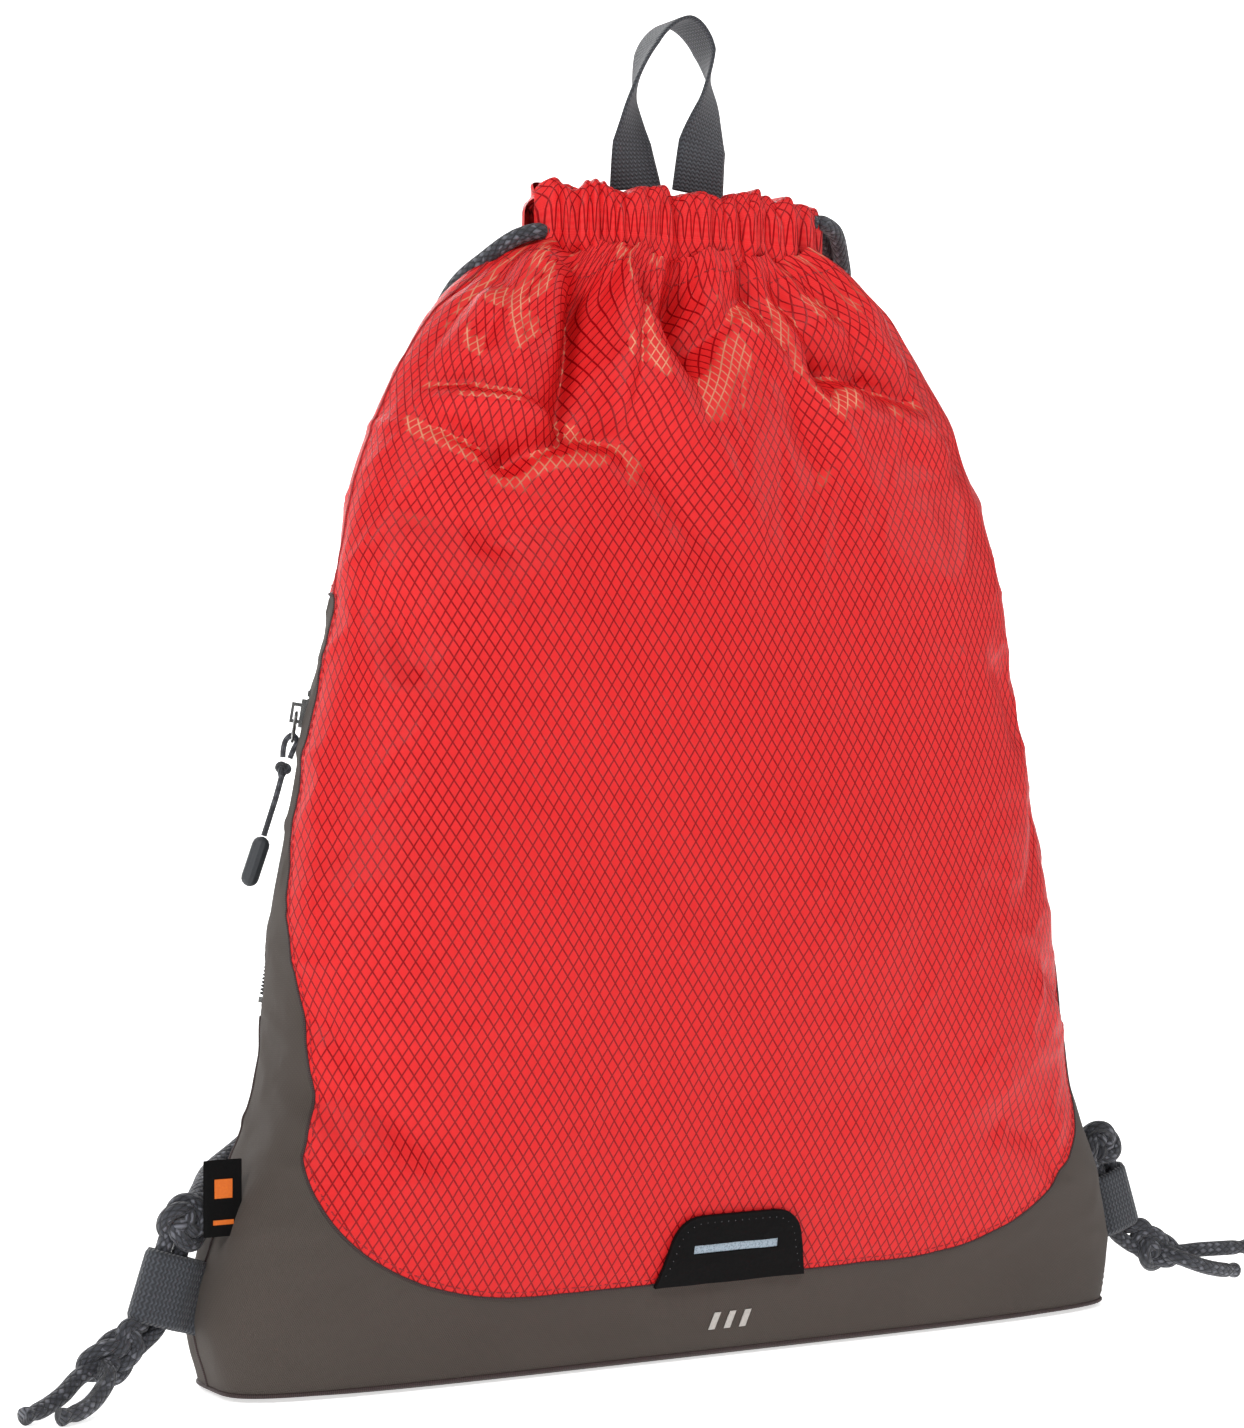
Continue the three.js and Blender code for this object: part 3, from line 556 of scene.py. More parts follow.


# ---- Folds of the filled sack, placed one by one ----
# Each crease of the front: start x, z, end x, z, half width, depth inwards (negative stands out).
CREASES = (
    (-0.010, 0.404, -0.010, 0.372, 0.0105, 0.0130),
    (-0.034, 0.398, -0.013, 0.366, 0.0055, 0.0050),
    (0.024, 0.398, -0.006, 0.364, 0.0055, 0.0050),
    (-0.050, 0.400, -0.063, 0.338, 0.0065, 0.0120),
    (-0.034, 0.396, -0.041, 0.345, 0.0075, -0.0045),
    (-0.078, 0.388, -0.088, 0.366, 0.0060, 0.0045),
    (-0.085, 0.380, -0.078, 0.352, 0.0090, -0.0035),
    (-0.124, 0.353, -0.072, 0.346, 0.0045, 0.0055),
    (-0.116, 0.338, -0.088, 0.324, 0.0050, 0.0050),
    (-0.088, 0.324, -0.050, 0.334, 0.0050, 0.0050),
    (-0.102, 0.342, -0.066, 0.338, 0.0070, -0.0040),
    (0.030, 0.398, 0.046, 0.360, 0.0060, 0.0060),
    (0.046, 0.360, 0.085, 0.352, 0.0050, 0.0065),
    (0.048, 0.378, 0.080, 0.364, 0.0110, -0.0030),
    (0.055, 0.342, 0.100, 0.334, 0.0100, -0.0028),
    (0.012, 0.378, 0.052, 0.330, 0.0080, -0.0035),
    (-0.030, 0.352, 0.004, 0.306, 0.0120, -0.0040),
    (-0.052, 0.338, -0.016, 0.300, 0.0100, 0.0030),
    (0.086, 0.372, 0.112, 0.330, 0.0060, 0.0035),
    (-0.128, 0.306, -0.092, 0.296, 0.0090, 0.0028),
    (-0.095, 0.296, -0.075, 0.302, 0.0060, 0.0020),
    (-0.140, 0.272, -0.125, 0.256, 0.0080, 0.0030),
    (-0.160, 0.230, -0.150, 0.190, 0.0100, 0.0020),
    (-0.168, 0.136, -0.146, 0.116, 0.0070, 0.0030),
    (-0.150, 0.104, -0.122, 0.084, 0.0070, 0.0028),
    (-0.172, 0.112, -0.150, 0.092, 0.0060, 0.0022),
    (0.125, 0.250, 0.136, 0.228, 0.0080, 0.0026),
    (0.146, 0.196, 0.140, 0.170, 0.0080, 0.0024),
    (0.150, 0.134, 0.168, 0.112, 0.0070, 0.0024),
    (0.120, 0.080, 0.150, 0.062, 0.0080, 0.0020),
    (0.020, 0.180, 0.060, 0.090, 0.0260, -0.0016),
    (-0.060, 0.200, -0.030, 0.120, 0.0300, 0.0016),
)
# The creases of the back, given in the same way.
BACK_CREASES = (
    (-0.040, 0.396, -0.055, 0.345, 0.0060, 0.0080),
    (0.002, 0.398, 0.004, 0.356, 0.0070, 0.0090),
    (0.046, 0.396, 0.060, 0.342, 0.0060, 0.0075),
    (-0.090, 0.352, -0.060, 0.340, 0.0060, 0.0035),
    (0.070, 0.350, 0.104, 0.338, 0.0060, 0.0035),
    (-0.110, 0.230, -0.070, 0.210, 0.0110, 0.0028),
    (0.090, 0.180, 0.130, 0.150, 0.0110, 0.0028),
    (-0.140, 0.120, -0.100, 0.090, 0.0100, 0.0025),
    (-0.020, 0.300, 0.030, 0.290, 0.0130, 0.0020),
)


def crease_depth(x, z, creases):
    """How far the creases press the cloth in at (x, z)."""
    depth = np.zeros_like(x)
    for x0, z0, x1, z1, width, deep in creases:
        run_x, run_z = x1 - x0, z1 - z0
        length = math.hypot(run_x, run_z)
        along = ((x - x0) * run_x + (z - z0) * run_z) / length**2
        off = ((x - x0) * run_z - (z - z0) * run_x) / length
        off = off + 0.25 * width * np.sin(along * 4.0)
        beyond = np.maximum(np.abs(along - 0.5) - 0.5, 0) * length
        fade = bump(beyond, width * 1.4) * (0.75 + 0.25 * np.cos((along - 0.4) * 2.2))
        depth += deep * fade * fold(off, width)
    return depth


def gather_depth(share, z):
    """Small irregular gathers round the neck, dying out down the shoulders."""
    turn = share * TURN
    wander = 0.7 * np.sin(3 * turn + 1.0) + 0.5 * np.sin(5 * turn + 2.3)
    fine = 1 - 2 * np.abs(np.sin(16 * turn + 1.2 * wander))
    broad = 1 - 2 * np.abs(np.sin(7 * turn + 0.8 * wander + 0.4))
    reach_fine, reach_broad = ease(z, 0.366, 0.394), ease(z, 0.300, 0.392)
    return 0.0014 * fine * reach_fine + 0.0034 * broad * reach_broad


def rumple_depth(share, z):
    """Loose, uneven cloth everywhere: soft hollows and short wrinkles, more of them near the sides."""
    x, y = share * 0.75, z
    broad = soft_noise(x, y, 0.055, 3) * 0.0020
    middle = soft_noise(x + 0.3 * y, y, 0.024, 5) * 0.0009
    ridge = 1 - np.abs(soft_noise(x - 0.5 * y, y * 1.3, 0.030, 8))
    cross = 1 - np.abs(soft_noise(0.4 * x + y, y - 0.7 * x, 0.021, 15))
    side = 0.4 + 0.3 * ease(np.abs(np.abs(share) - 0.25), 0.22, 0.05)
    fine = soft_noise(x, y, 0.009, 11) * 0.00022
    return broad + middle - side * (0.0012 * ridge**5 + 0.0009 * cross**6) + fine


CREASE_STRENGTH = 1.7  # how much deeper the front's creases are than listed
NECK_LEVEL = 0.392  # the creases no longer change above this height
NECK_SHARE = 0.5  # share of a crease's depth that is left where the cloth meets the tunnel
NECK_OVERLAP = 0.0055  # the cloth's upper edge laps this far over the tunnel's foot
COLUMNS = 360
ROWS = 128


def shaped_skin():
    """The body's surface as rows of points, round from the front's middle, with the listed folds."""
    heights = np.linspace(FOOT, PANEL_TOP, ROWS)
    share = np.arange(COLUMNS) / COLUMNS
    mirrored = np.where(share > 0.5, 1 - share, share)
    side = np.where(share > 0.5, -1.0, 1.0)
    points = np.zeros((ROWS, COLUMNS, 3))
    for row, z in enumerate(heights):
        shares, xs, ys, _ = half_ring(z)
        points[row, :, 0] = side * np.interp(mirrored, shares, xs)
        points[row, :, 1] = np.interp(mirrored, shares, ys)
        points[row, :, 2] = z
    x, y, z = np.moveaxis(points, 2, 0)
    signed = np.where(share > 0.5, share - 1, share)[None, :] + 0 * z
    width, depth_half, _ = section(z)
    front = ease(-y / depth_half, 0.15, 0.6)
    back = ease(y / depth_half, 0.15, 0.6)
    level = np.minimum(z, NECK_LEVEL)
    inward = CREASE_STRENGTH * front * crease_depth(x, level, CREASES)
    inward = inward + back * crease_depth(x, level, BACK_CREASES)
    over = ease(z, 0.386, PANEL_TOP)
    inward *= 1 - (1 - NECK_SHARE) * over
    inward += gather_depth(signed, z) * (1 - 0.5 * over) - 0.0014 * over
    inward += (rumple_depth(signed, z) + 0.0006) * ease(z, 0.004, 0.03)
    folded = points - surface_normals(points) * inward[..., None]
    folded[..., 2] += NECK_OVERLAP * over * (1 + 0.12 * np.sin(signed * 190))
    return folded


def surface_normals(points):
    """Outward directions of a ring-closed grid of points."""
    around = np.roll(points, -1, axis=1) - np.roll(points, 1, axis=1)
    up = np.gradient(points, axis=0)
    return unit(np.cross(around, up))


SIM_FRAMES = 26
SIM_CAP = 0.009  # the most that the simulation may move a point
SOFT_HOLD = 0.045  # how firmly the cloth is held to its place everywhere, from 0 to 1
CLOTH = {
    "quality": 5, "mass": 0.25, "tension_stiffness": 22, "compression_stiffness": 12, "shear_stiffness": 8,
    "bending_stiffness": 0.08, "air_damping": 3, "vertex_group_mass": "held", "pin_stiffness": 1.0,
    "use_pressure": True, "uniform_pressure_force": 1.2,
}


def settled_skin(points):
    """The same grid after a cloth simulation: cut a little too large, held at the neck and the foot,
    pressed out by what the sack holds."""
    rows, columns, _ = points.shape
    obj = new_mesh("sim_skin", points.reshape(-1, 3), grid_faces(rows, columns, closed=True), RED)
    obj.shape_key_add(name="Basis")
    cut = obj.shape_key_add(name="cut")
    z = points[..., 2]
    loose = 1.0 + 0.035 * ease(z, 0.02, 0.10) + 0.10 * ease(z, 0.30, 0.398)
    flat = points.copy()
    flat[..., 0] *= loose
    flat[..., 1] *= loose
    flat[..., 2] = z * 1.02 + 0.02 * ease(z, 0.28, 0.40)
    cut.data.foreach_set("co", flat.reshape(-1))
    held = obj.vertex_groups.new(name="held")
    pin = SOFT_HOLD + (1 - SOFT_HOLD) * np.maximum(1 - ease(z, FOOT, 0.022), ease(z, 0.388, PANEL_TOP))
    for row in range(rows):
        held.add(list(range(row * columns, (row + 1) * columns)), float(pin[row, 0]), "REPLACE")
    cloth = obj.modifiers.new("Cloth", "CLOTH")
    settings = cloth.settings
    for name, value in CLOTH.items():
        setattr(settings, name, value)
    settings.rest_shape_key = cut
    settings.effector_weights.gravity = 0
    cloth.collision_settings.use_collision = False
    cloth.point_cache.frame_start = 1
    cloth.point_cache.frame_end = SIM_FRAMES
    scene = bpy.context.scene
    for number in range(1, SIM_FRAMES + 1):
        scene.frame_set(number)
    done = obj.evaluated_get(bpy.context.evaluated_depsgraph_get())
    moved = np.zeros(rows * columns * 3)
    done.data.vertices.foreach_get("co", moved)
    scene.frame_set(1)
    bpy.data.objects.remove(obj)
    shift = moved.reshape(points.shape) - points
    size = np.linalg.norm(shift, axis=2, keepdims=True)
    return points + shift * np.minimum(1, SIM_CAP / np.maximum(size, 1e-9))


SKIN = shaped_skin()
SKIN = settled_skin(SKIN)
SKIN_NORMALS = surface_normals(SKIN)


def cubic_weights(t):
    return np.stack(
        [-t**3 + 2 * t**2 - t, 3 * t**3 - 5 * t**2 + 2, -3 * t**3 + 4 * t**2 + t, t**3 - t**2], axis=-1
    ) / 2


def sample(grid, share, z):
    """A ring-closed grid's value at shares round and heights z, smooth between its points."""
    share, z = np.broadcast_arrays(np.asarray(share, float), np.asarray(z, float))
    c = (share % 1.0) * COLUMNS
    r = np.clip((z - FOOT) / (PANEL_TOP - FOOT), 0, 1) * (ROWS - 1)
    ci, ri = np.floor(c).astype(int), np.minimum(np.floor(r).astype(int), ROWS - 2)
    wc, wr = cubic_weights(c - ci), cubic_weights(r - ri)
    total = 0
    for a in range(4):
        row = np.clip(ri + a - 1, 0, ROWS - 1)
        for b in range(4):
            total = total + (wr[..., a] * wc[..., b])[..., None] * grid[row, (ci + b - 1) % COLUMNS]
    return total


def skin_at(share, z, out=0.0):
    """Points of the cloth, moved outwards by out."""
    return sample(SKIN, share, z) + np.asarray(out)[..., None] * sample(SKIN_NORMALS, share, z)


REFERENCE = 0.30  # above this height the cut no longer narrows, so the cloth is gathered


def flat_coordinates(share, z):
    """Where a point of the body lies on the cut cloth: metres across and up."""
    share, z = np.broadcast_arrays(np.asarray(share, float), np.asarray(z, float))
    levels = np.linspace(FOOT, PANEL_TOP, 60)
    rounds = np.array([half_ring(min(level, REFERENCE))[3] for level in levels])
    across = share * np.interp(z, levels, rounds)
    up = z + 0.030 * ease(z, 0.28, 0.41) * (0.5 + np.abs(share) * 1.2)
    return np.stack([across, up, np.zeros_like(up)], axis=-1)


# ---- Cloth panels ----
def flat_area(flat, rows, columns):
    f = flat.reshape(rows, columns, 3)
    a, b = f[1:, 1:] - f[:-1, :-1], f[1:, :-1] - f[:-1, 1:]
    return float(np.abs(np.cross(a, b)[..., 2]).sum() / 2)


def cut_size(flat, rows, columns):
    """The cut's width, length and area; a cut much smaller than its box is given as a box of its area."""
    width, length = (float(v) for v in (flat.max(0) - flat.min(0))[:2])
    area = flat_area(flat, rows, columns)
    if area < 0.32 * width * length:
        length = area / (0.95 * width)
    return (width, length), min(area, width * length)


def panel_object(name, share, z, material, node):
    """One cloth panel from a grid of places on the body."""
    rows, columns = share.shape
    flat = flat_coordinates(share, z).reshape(-1, 3)
    points = skin_at(share, z)
    obj = new_mesh(name, points.reshape(-1, 3), grid_faces(rows, columns), material, {"flat": flat})
    on_bag(obj, "red_ripstop" if material is RED else "grey_twill", node)
    size, area = cut_size(flat, rows, columns)
    return obj


def span_grid(heights, start, end, columns):
    """Rows of places from start(z) to end(z)."""
    t = np.linspace(0, 1, columns)
    share = np.array([start(z) + (end(z) - start(z)) * t for z in heights])
    return share, np.repeat(np.array(heights)[:, None], columns, axis=1)


EDGE = 0.0002  # each panel stops this far short of its neighbour, in shares of the way round


def zip_gap(z):
    """How far the window of the zip pushes each panel's edge away, as a share of the way round."""
    half = (ZIP_WINDOW / 2 - 0.0004) * ease(z, ZIP_FOOT + 0.001, ZIP_FOOT + 0.006)
    return float(half * (1 - ease(z, ZIP_TOP - 0.006, ZIP_TOP - 0.001)) / half_ring(z)[3])


def corner_heights(count):
    return [CORNER_TOP - (CORNER_TOP - SEAM_LOW) * math.cos(a) for a in np.linspace(0, math.pi / 2, count)]


def build_front():
    heights = corner_heights(44) + list(np.linspace(CORNER_TOP, PANEL_TOP, 170))[1:]
    share, z = span_grid(heights, lambda h: -front_seam(h), front_seam, 260)
    return panel_object("front_cloth", share, z, RED, "front_panel")


def build_back():
    """The grey back: its edges follow the rear seam, which at the left makes room for the zip."""
    heights = np.linspace(FOOT, GUSSET_TOP, 130)
    far_edge = lambda h: 1 - back_seam(h) - EDGE - zip_gap(h)
    share, z = span_grid(heights, lambda h: back_seam(h) + EDGE, far_edge, 200)
    return panel_object("back_cloth", share, z, TAUPE, "back_panel")


def build_yoke():
    heights = np.linspace(GUSSET_TOP + 0.0003, PANEL_TOP, 90)
    share, z = span_grid(heights, lambda h: back_seam(h) + EDGE, lambda h: 1 - back_seam(h) - EDGE, 240)
    return panel_object("yoke_cloth", share, z, RED, "back_yoke")


def boot_half(side):
    """Cross lines of the boot's half, from its tip down and round to the middle of the foot."""
    lines = []
    gap = zip_gap if side < 0 else (lambda h: 0.0)
    tip = np.linspace(GUSSET_TOP - 0.0006, 0.262, 14)
    for z in np.concatenate([tip, np.linspace(0.262, CORNER_TOP, 90)[1:]]):
        lines.append((front_seam(z) + EDGE, z, back_seam(z) - gap(z), z))
    for a in np.linspace(0, math.pi / 2, 64)[1:]:
        z = CORNER_TOP - (CORNER_TOP - SEAM_LOW) * math.sin(a)
        down = min(1.0, 2 * a / (math.pi / 2))
        inward = max(0.0, 2 * a / (math.pi / 2) - 1)
        rim_z = CORNER_TOP + (FOOT - CORNER_TOP) * down
        rim = back_seam(rim_z) + (front_seam(SEAM_LOW) - back_seam(rim_z)) * inward
        lines.append((front_seam(z) + EDGE * math.cos(a), z - 0.0003 * math.sin(a), rim, rim_z))
    for share in np.linspace(front_seam(SEAM_LOW), 0, 60)[1:]:
        lines.append((share, SEAM_LOW - 0.0003, share, FOOT))
    return [(side * s0, z0, side * s1, z1) for s0, z0, s1, z1 in lines]


def build_boot():
    lines = np.array(boot_half(-1) + boot_half(1)[:-1][::-1])
    t = np.linspace(0, 1, 26)[None, :]
    share = lines[:, :1] * (1 - t) + lines[:, 2:3] * t
    z = lines[:, 1:2] * (1 - t) + lines[:, 3:4] * t
    return panel_object("boot_cloth", share, z, TAUPE, "boot_panel")


def build_base():
    """The flat bottom, a little crowned, turned up to the panels' foot."""
    rings = np.linspace(0, 1, 14)
    share = np.arange(240) / 240
    rim = sample(SKIN, share, np.full(240, FOOT))
    points = [(0.0, 0.0, 0.0008)]
    for t in rings[1:]:
        for x, y, _ in rim:
            points.append((x * t, y * t, 0.0006 + 0.0016 * max(0.0, (t - 0.93) / 0.07)))
    faces = [(0, 1 + (j + 1) % 240, 1 + j) for j in range(240)]
    for i in range(len(rings) - 2):
        for j in range(240):
            k = (j + 1) % 240
            a, b = 1 + i * 240, 1 + (i + 1) * 240
            faces.append((a + j, a + k, b + k, b + j))
    flat = np.array(points) * (1, 1, 0)
    obj = new_mesh("base_cloth", points, faces, TAUPE, {"flat": flat})
    on_bag(obj, "grey_twill", "base_panel")
    outline = np.abs(np.sum(rim[:, 0] * np.roll(rim[:, 1], 1) - rim[:, 1] * np.roll(rim[:, 0], 1))) / 2
    return obj


# ---- Gathered tunnel hem ----
HEM_GATHER = 1.6  # the net's cells are this much narrower along the tunnel than on flat cloth
HEM_ROUND = 0.074  # length of cloth once round the tunnel's section


def tunnel_centre(side, angle):
    power = 2 / 2.3
    x = HEM_HALF_WIDTH * np.sign(np.sin(angle)) * np.abs(np.sin(angle)) ** power
    y = side * HEM_HALF_DEPTH * np.abs(np.cos(angle)) ** power
    return x, y


def hem_ruffle(run, turn, seed):
    """Gathers of the hem, along the tunnel (metres) and round its section (0 to 1)."""
    wander = 0.011 * soft_noise(run, 0 * run, 0.015, seed)
    lean = 0.0030 * soft_noise(run * 0.6, turn * 0.06, 0.012, seed + 6)
    fine = 1 - 2 * np.abs(np.sin((run + wander + lean) * math.pi / 0.0068))
    broad = 1 - 2 * np.abs(np.sin((run - wander - lean) * math.pi / 0.0165 + seed))
    lumps = soft_noise(run * 1.1, turn * 0.05, 0.006, seed + 4)
    return np.maximum(-0.0009 * fine - 0.0013 * broad + 0.0016 * lumps, -0.0008)


def neck_fold(x, side):
    """How far the neck's own folds carry the tunnel inwards at x."""
    creases = CREASES if side < 0 else BACK_CREASES
    level = np.full_like(np.asarray(x, float), NECK_LEVEL)
    middle = 1 - ease(np.abs(x), 0.036, 0.052)
    return NECK_SHARE * middle * crease_depth(np.asarray(x, float), level, creases)


def build_hem(side, word, seed):
    steps, sides = 420, 72
    angles = np.linspace(-math.pi / 2 + HEM_MOUTH, math.pi / 2 - HEM_MOUTH, steps)
    cx, cy = tunnel_centre(side, angles)
    end = ease(np.abs(angles), math.pi / 2 - 0.42, math.pi / 2 - HEM_MOUTH)
    cx = cx + np.sign(cx) * 0.0035 * end
    run = np.concatenate([[0], np.cumsum(np.hypot(np.diff(cx), np.diff(cy)))])
    tx, ty = np.gradient(cx), np.gradient(cy)
    norm = np.hypot(tx, ty)
    ox, oy = ty / norm, -tx / norm
    flip = np.sign(ox * cx + oy * cy + 1e-12)
    ox, oy = ox * flip, oy * flip
    turn = np.linspace(0.001, 0.999, sides)  # the strip's two edges meet on the inner side
    power = 0.42
    around = turn * TURN - math.pi
    round_x = np.sign(np.cos(around)) * np.abs(np.cos(around)) ** power
    round_z = np.sign(np.sin(around)) * np.abs(np.sin(around)) ** power
    half_thick, half_tall = HEM_THICK / 2, (HEM_HIGH - HEM_LOW) / 2 - 0.0004
    ruffle = hem_ruffle(run[:, None], turn[None, :], seed)
    pinch = 1 - 0.08 * bump(round_z[None, :] + 0.15, 0.16) * (0.7 + 0.3 * np.sin(run[:, None] / 0.002))
    tucked = 1 - 0.12 * ease(-round_z, 0.55, 0.95)[None, :]
    out = round_x[None, :] * (half_thick * pinch + ruffle) * tucked - neck_fold(cx, side)[:, None]
    scallop = 0.0019 * soft_noise(run, 0 * run, 0.0050, seed + 9)
    scallop = scallop + 0.0014 * soft_noise(run, 0 * run, 0.012, seed + 2)
    high = (HEM_LOW + HEM_HIGH) / 2 + round_z[None, :] * (half_tall + 0.6 * ruffle)
    high = high + (scallop[:, None] * (round_z[None, :] > 0)) - 0.0006
    points = np.stack([cx[:, None] + ox[:, None] * out, cy[:, None] + oy[:, None] * out, high], axis=-1)
    flat = np.zeros_like(points)
    flat[..., 0] = (run * HEM_GATHER)[:, None]
    flat[..., 1] = (turn * HEM_ROUND)[None, :]
    faces = grid_faces(steps, sides)
    obj = new_mesh(f"hem_cloth_{word}", points.reshape(-1, 3), faces, RED, {"flat": flat.reshape(-1, 3)})
    on_bag(obj, "red_ripstop", f"hem_{word}")
    return obj


# ---- Seams and stitches ----
def seam_line(places, name, radius, material, out=0.0):
    """A thin welt along a list of (share, z) places."""
    share, z = np.array(places).T
    return tube_mesh(name, skin_at(share, z, np.full(len(z), out)), radius, material, sides=8)


def front_seam_places(shift=0.0):
    """The front's seam from the left side's top, round the foot, to the right side's top."""
    half = []
    for z in np.linspace(GUSSET_TOP, CORNER_TOP, 150):
        half.append((front_seam(z) + shift / half_ring(z)[3], z))
    for a in np.linspace(0, math.pi / 2, 90)[1:]:
        z = CORNER_TOP - (CORNER_TOP - SEAM_LOW) * math.sin(a)
        half.append((front_seam(z) + shift * math.cos(a) / half_ring(z)[3], z - shift * math.sin(a)))
    for share in np.linspace(half[-1][0], 0, 60)[1:]:
        half.append((share, SEAM_LOW - shift))
    left = [(-s, z) for s, z in half]
    return left + half[::-1][1:]


def stitches(name, places, length, gap, radius, material, out):
    """A row of short stitches along places on the body, each dipping into the cloth at its ends."""
    share, z = np.array(places).T
    line = skin_at(share, z, np.zeros(len(z)))
    along = lengths_along(line)
    count = int(along[-1] / (length + gap))
    points, faces, braid = [], [], []
    sides, knots = 6, 5
    for k in range(count):
        start = k * (length + gap)
        at = start + np.linspace(0, length, knots)
        s, h = np.interp(at, along, share), np.interp(at, along, z)
        lift = out * np.sin(np.linspace(0, math.pi, knots)) - 0.4 * radius
        centre = skin_at(s, h, lift)
        _, u, v = frames_along(centre)
        for ring in range(knots):
            thin = radius * (0.55 if ring in (0, knots - 1) else 1.0)
            for q in range(sides):
                angle = q * TURN / sides
                points.append(centre[ring] + thin * (math.cos(angle) * u[ring] + math.sin(angle) * v[ring]))
                braid.append((at[ring], angle, 0))
        base = k * sides * knots
        faces += [tuple(base + i for i in face) for face in grid_faces(knots, sides, closed=True)]
    return new_mesh(name, points, faces, material, {"braid": braid})


def build_seams():
    seam = front_seam_places()
    on_bag(seam_line(seam, "front_seam_welt", 0.00055, SEAM_THREAD), "black_trim")
    red_side = front_seam_places(-0.0022)
    on_bag(stitches("front_topstitch", red_side, 0.0024, 0.0009, 0.00026, RED_THREAD, 0.0002), "red_ripstop")
    for side, word in SIDES:
        end = ZIP_FOOT if side < 0 else GUSSET_TOP
        rear = [(side * back_seam(z), z) for z in np.linspace(FOOT, end, 120)]
        on_bag(seam_line(rear, f"rear_seam_welt_{word}", 0.0006, SEAM_THREAD), "black_trim")
        top = [(side * back_seam(z), z) for z in np.linspace(GUSSET_TOP, PANEL_TOP, 90)]
        on_bag(seam_line(top, f"side_seam_welt_{word}", 0.0005, RED_THREAD), "red_ripstop")
    yoke = [(s, GUSSET_TOP) for s in np.linspace(back_seam(GUSSET_TOP), 1 - back_seam(GUSSET_TOP), 260)]
    on_bag(seam_line(yoke, "yoke_seam_welt", 0.0006, SEAM_THREAD), "black_trim")
    over = [(s, GUSSET_TOP + 0.003) for s, _ in yoke]
    on_bag(stitches("yoke_topstitch", over, 0.0024, 0.0009, 0.00026, RED_THREAD, 0.0002), "red_ripstop")
    foot = [(s, FOOT + 0.0004) for s in np.linspace(0, 1, 500)]
    on_bag(seam_line(foot, "foot_seam_welt", 0.0008, SEAM_THREAD), "black_trim")
    neck = [(s, 0.3925) for s in np.linspace(0, 1, 500)]
    on_bag(stitches("neck_stitches", neck, 0.0018, 0.0010, 0.00024, RED_THREAD, 0.0002), "red_ripstop")


# ---- Cords ----
def strand_points(side, letter):
    extra = 0.0 if side < 0 else HIGH_RUN_Z - LOW_RUN_Z
    route = STRAND_ROUTES[letter]
    end = route[-1][2]
    return [(side * x, y, LOW_RUN_Z + dz + extra * (1 - dz / end)) for x, y, dz in route]


def knot_path(centre, scale, lean):
    """A tight overhand knot: a trefoil, turned by lean about Y."""
    t = np.linspace(0, TURN, 150)
    x = np.sin(t) + 2 * np.sin(2 * t)
    y = np.cos(t) - 2 * np.cos(2 * t)
    z = -1.6 * np.sin(3 * t)
    spots = np.stack([x, z * 0.8, y], axis=-1) / 3.0 * np.array(scale)
    c, s = math.cos(lean), math.sin(lean)
    return spots @ np.array([[c, 0, -s], [0, 1, 0], [s, 0, c]]) + np.array(centre)


def build_knot(name, centre, scale, lean, node):
    """Two cords drawn up side by side into one knot."""
    middle = knot_path(centre, scale, lean)
    ahead = np.roll(middle, -1, axis=0) - np.roll(middle, 1, axis=0)
    apart = unit(np.cross(ahead, (0, 1, 0)))
    passes = []
    for way, word in ((-1, "inner"), (1, "outer")):
        path = middle + way * KNOT_SPREAD * apart
        passes.append(tube_mesh(f"{name}_{word}", path, KNOT_CORD_R, BRAID, ends=False))
    return [on_bag(obj, "cord_braid", node) for obj in passes]


KNOT_SPREAD = 0.0025  # half the distance between the two cords of a knot
KNOT_CORD_R = 0.0027
LINK_LOOP = (
    (0.2125, 0.0005, 0.0262), (0.2172, -0.0008, 0.0262), (0.2205, -0.0015, 0.0210), (0.2235, -0.001, 0.0165),
)
LINK_STRAIGHT = ((0.2105, 0.0015, 0.0200), (0.2160, 0.000, 0.0170), (0.2225, -0.001, 0.0160))


def build_cords():
    channel = TAB_SEAM + TAB_ALONG * TAB_REACH
    for side, word in SIDES:
        flip = np.array([side, 1, 1])
        upper = build_knot(f"overhand_upper_{word}", np.array(UPPER_KNOT) * flip, (0.0048, 0.0055, 0.0055),
                           side * 0.5, f"knot_upper_{word}")
        lower = build_knot(f"overhand_lower_{word}", np.array(LOWER_KNOT) * flip, (0.0080, 0.0045, 0.0040),
                           side * 0.45, f"knot_lower_{word}")
        for letter, shift in (("a", 0.00315), ("b", -0.00315)):
            middle = channel + TAB_ALONG * shift
            link = [tuple(middle + TAB_ACROSS * d) for d in (-0.018, -0.013, 0, 0.012)]
            link += LINK_LOOP if letter == "a" else LINK_STRAIGHT
            path = smooth_path([np.array(p) * flip for p in link], 0.0008)
            link_obj = tube_mesh(f"cord_through_tab_{word}_{letter}", path, CORD_R - 0.0001, BRAID)
            on_bag(link_obj, "cord_braid", f"cord_link_{word}_{letter}")
            tail_route = ((0.2265, -0.002, 0.0150),) + TAIL_ROUTES[word, letter]
            path = smooth_path([np.array(p) * flip for p in tail_route], 0.0008)
            tail = tube_mesh(f"cord_end_{word}_{letter}", path, CORD_R, BRAID, plump=frayed)
            on_bag(tail, "cord_braid", f"cord_tail_{word}_{letter}")
            path = smooth_path(strand_points(side, letter), 0.0012)
            cord = tube_mesh(f"drawcord_{word}_{letter}", path, CORD_R, BRAID)
            on_bag(cord, "cord_braid", f"strand_{word}_{letter}")
            float(lengths_along(path)[-1])


def frayed(t):
    """A cord end's radius along it: whole, then pinched where it is melted."""
    return 1 - 0.18 * bump((t - 0.9), 0.05) + 0.05 * bump((t - 0.97), 0.03)


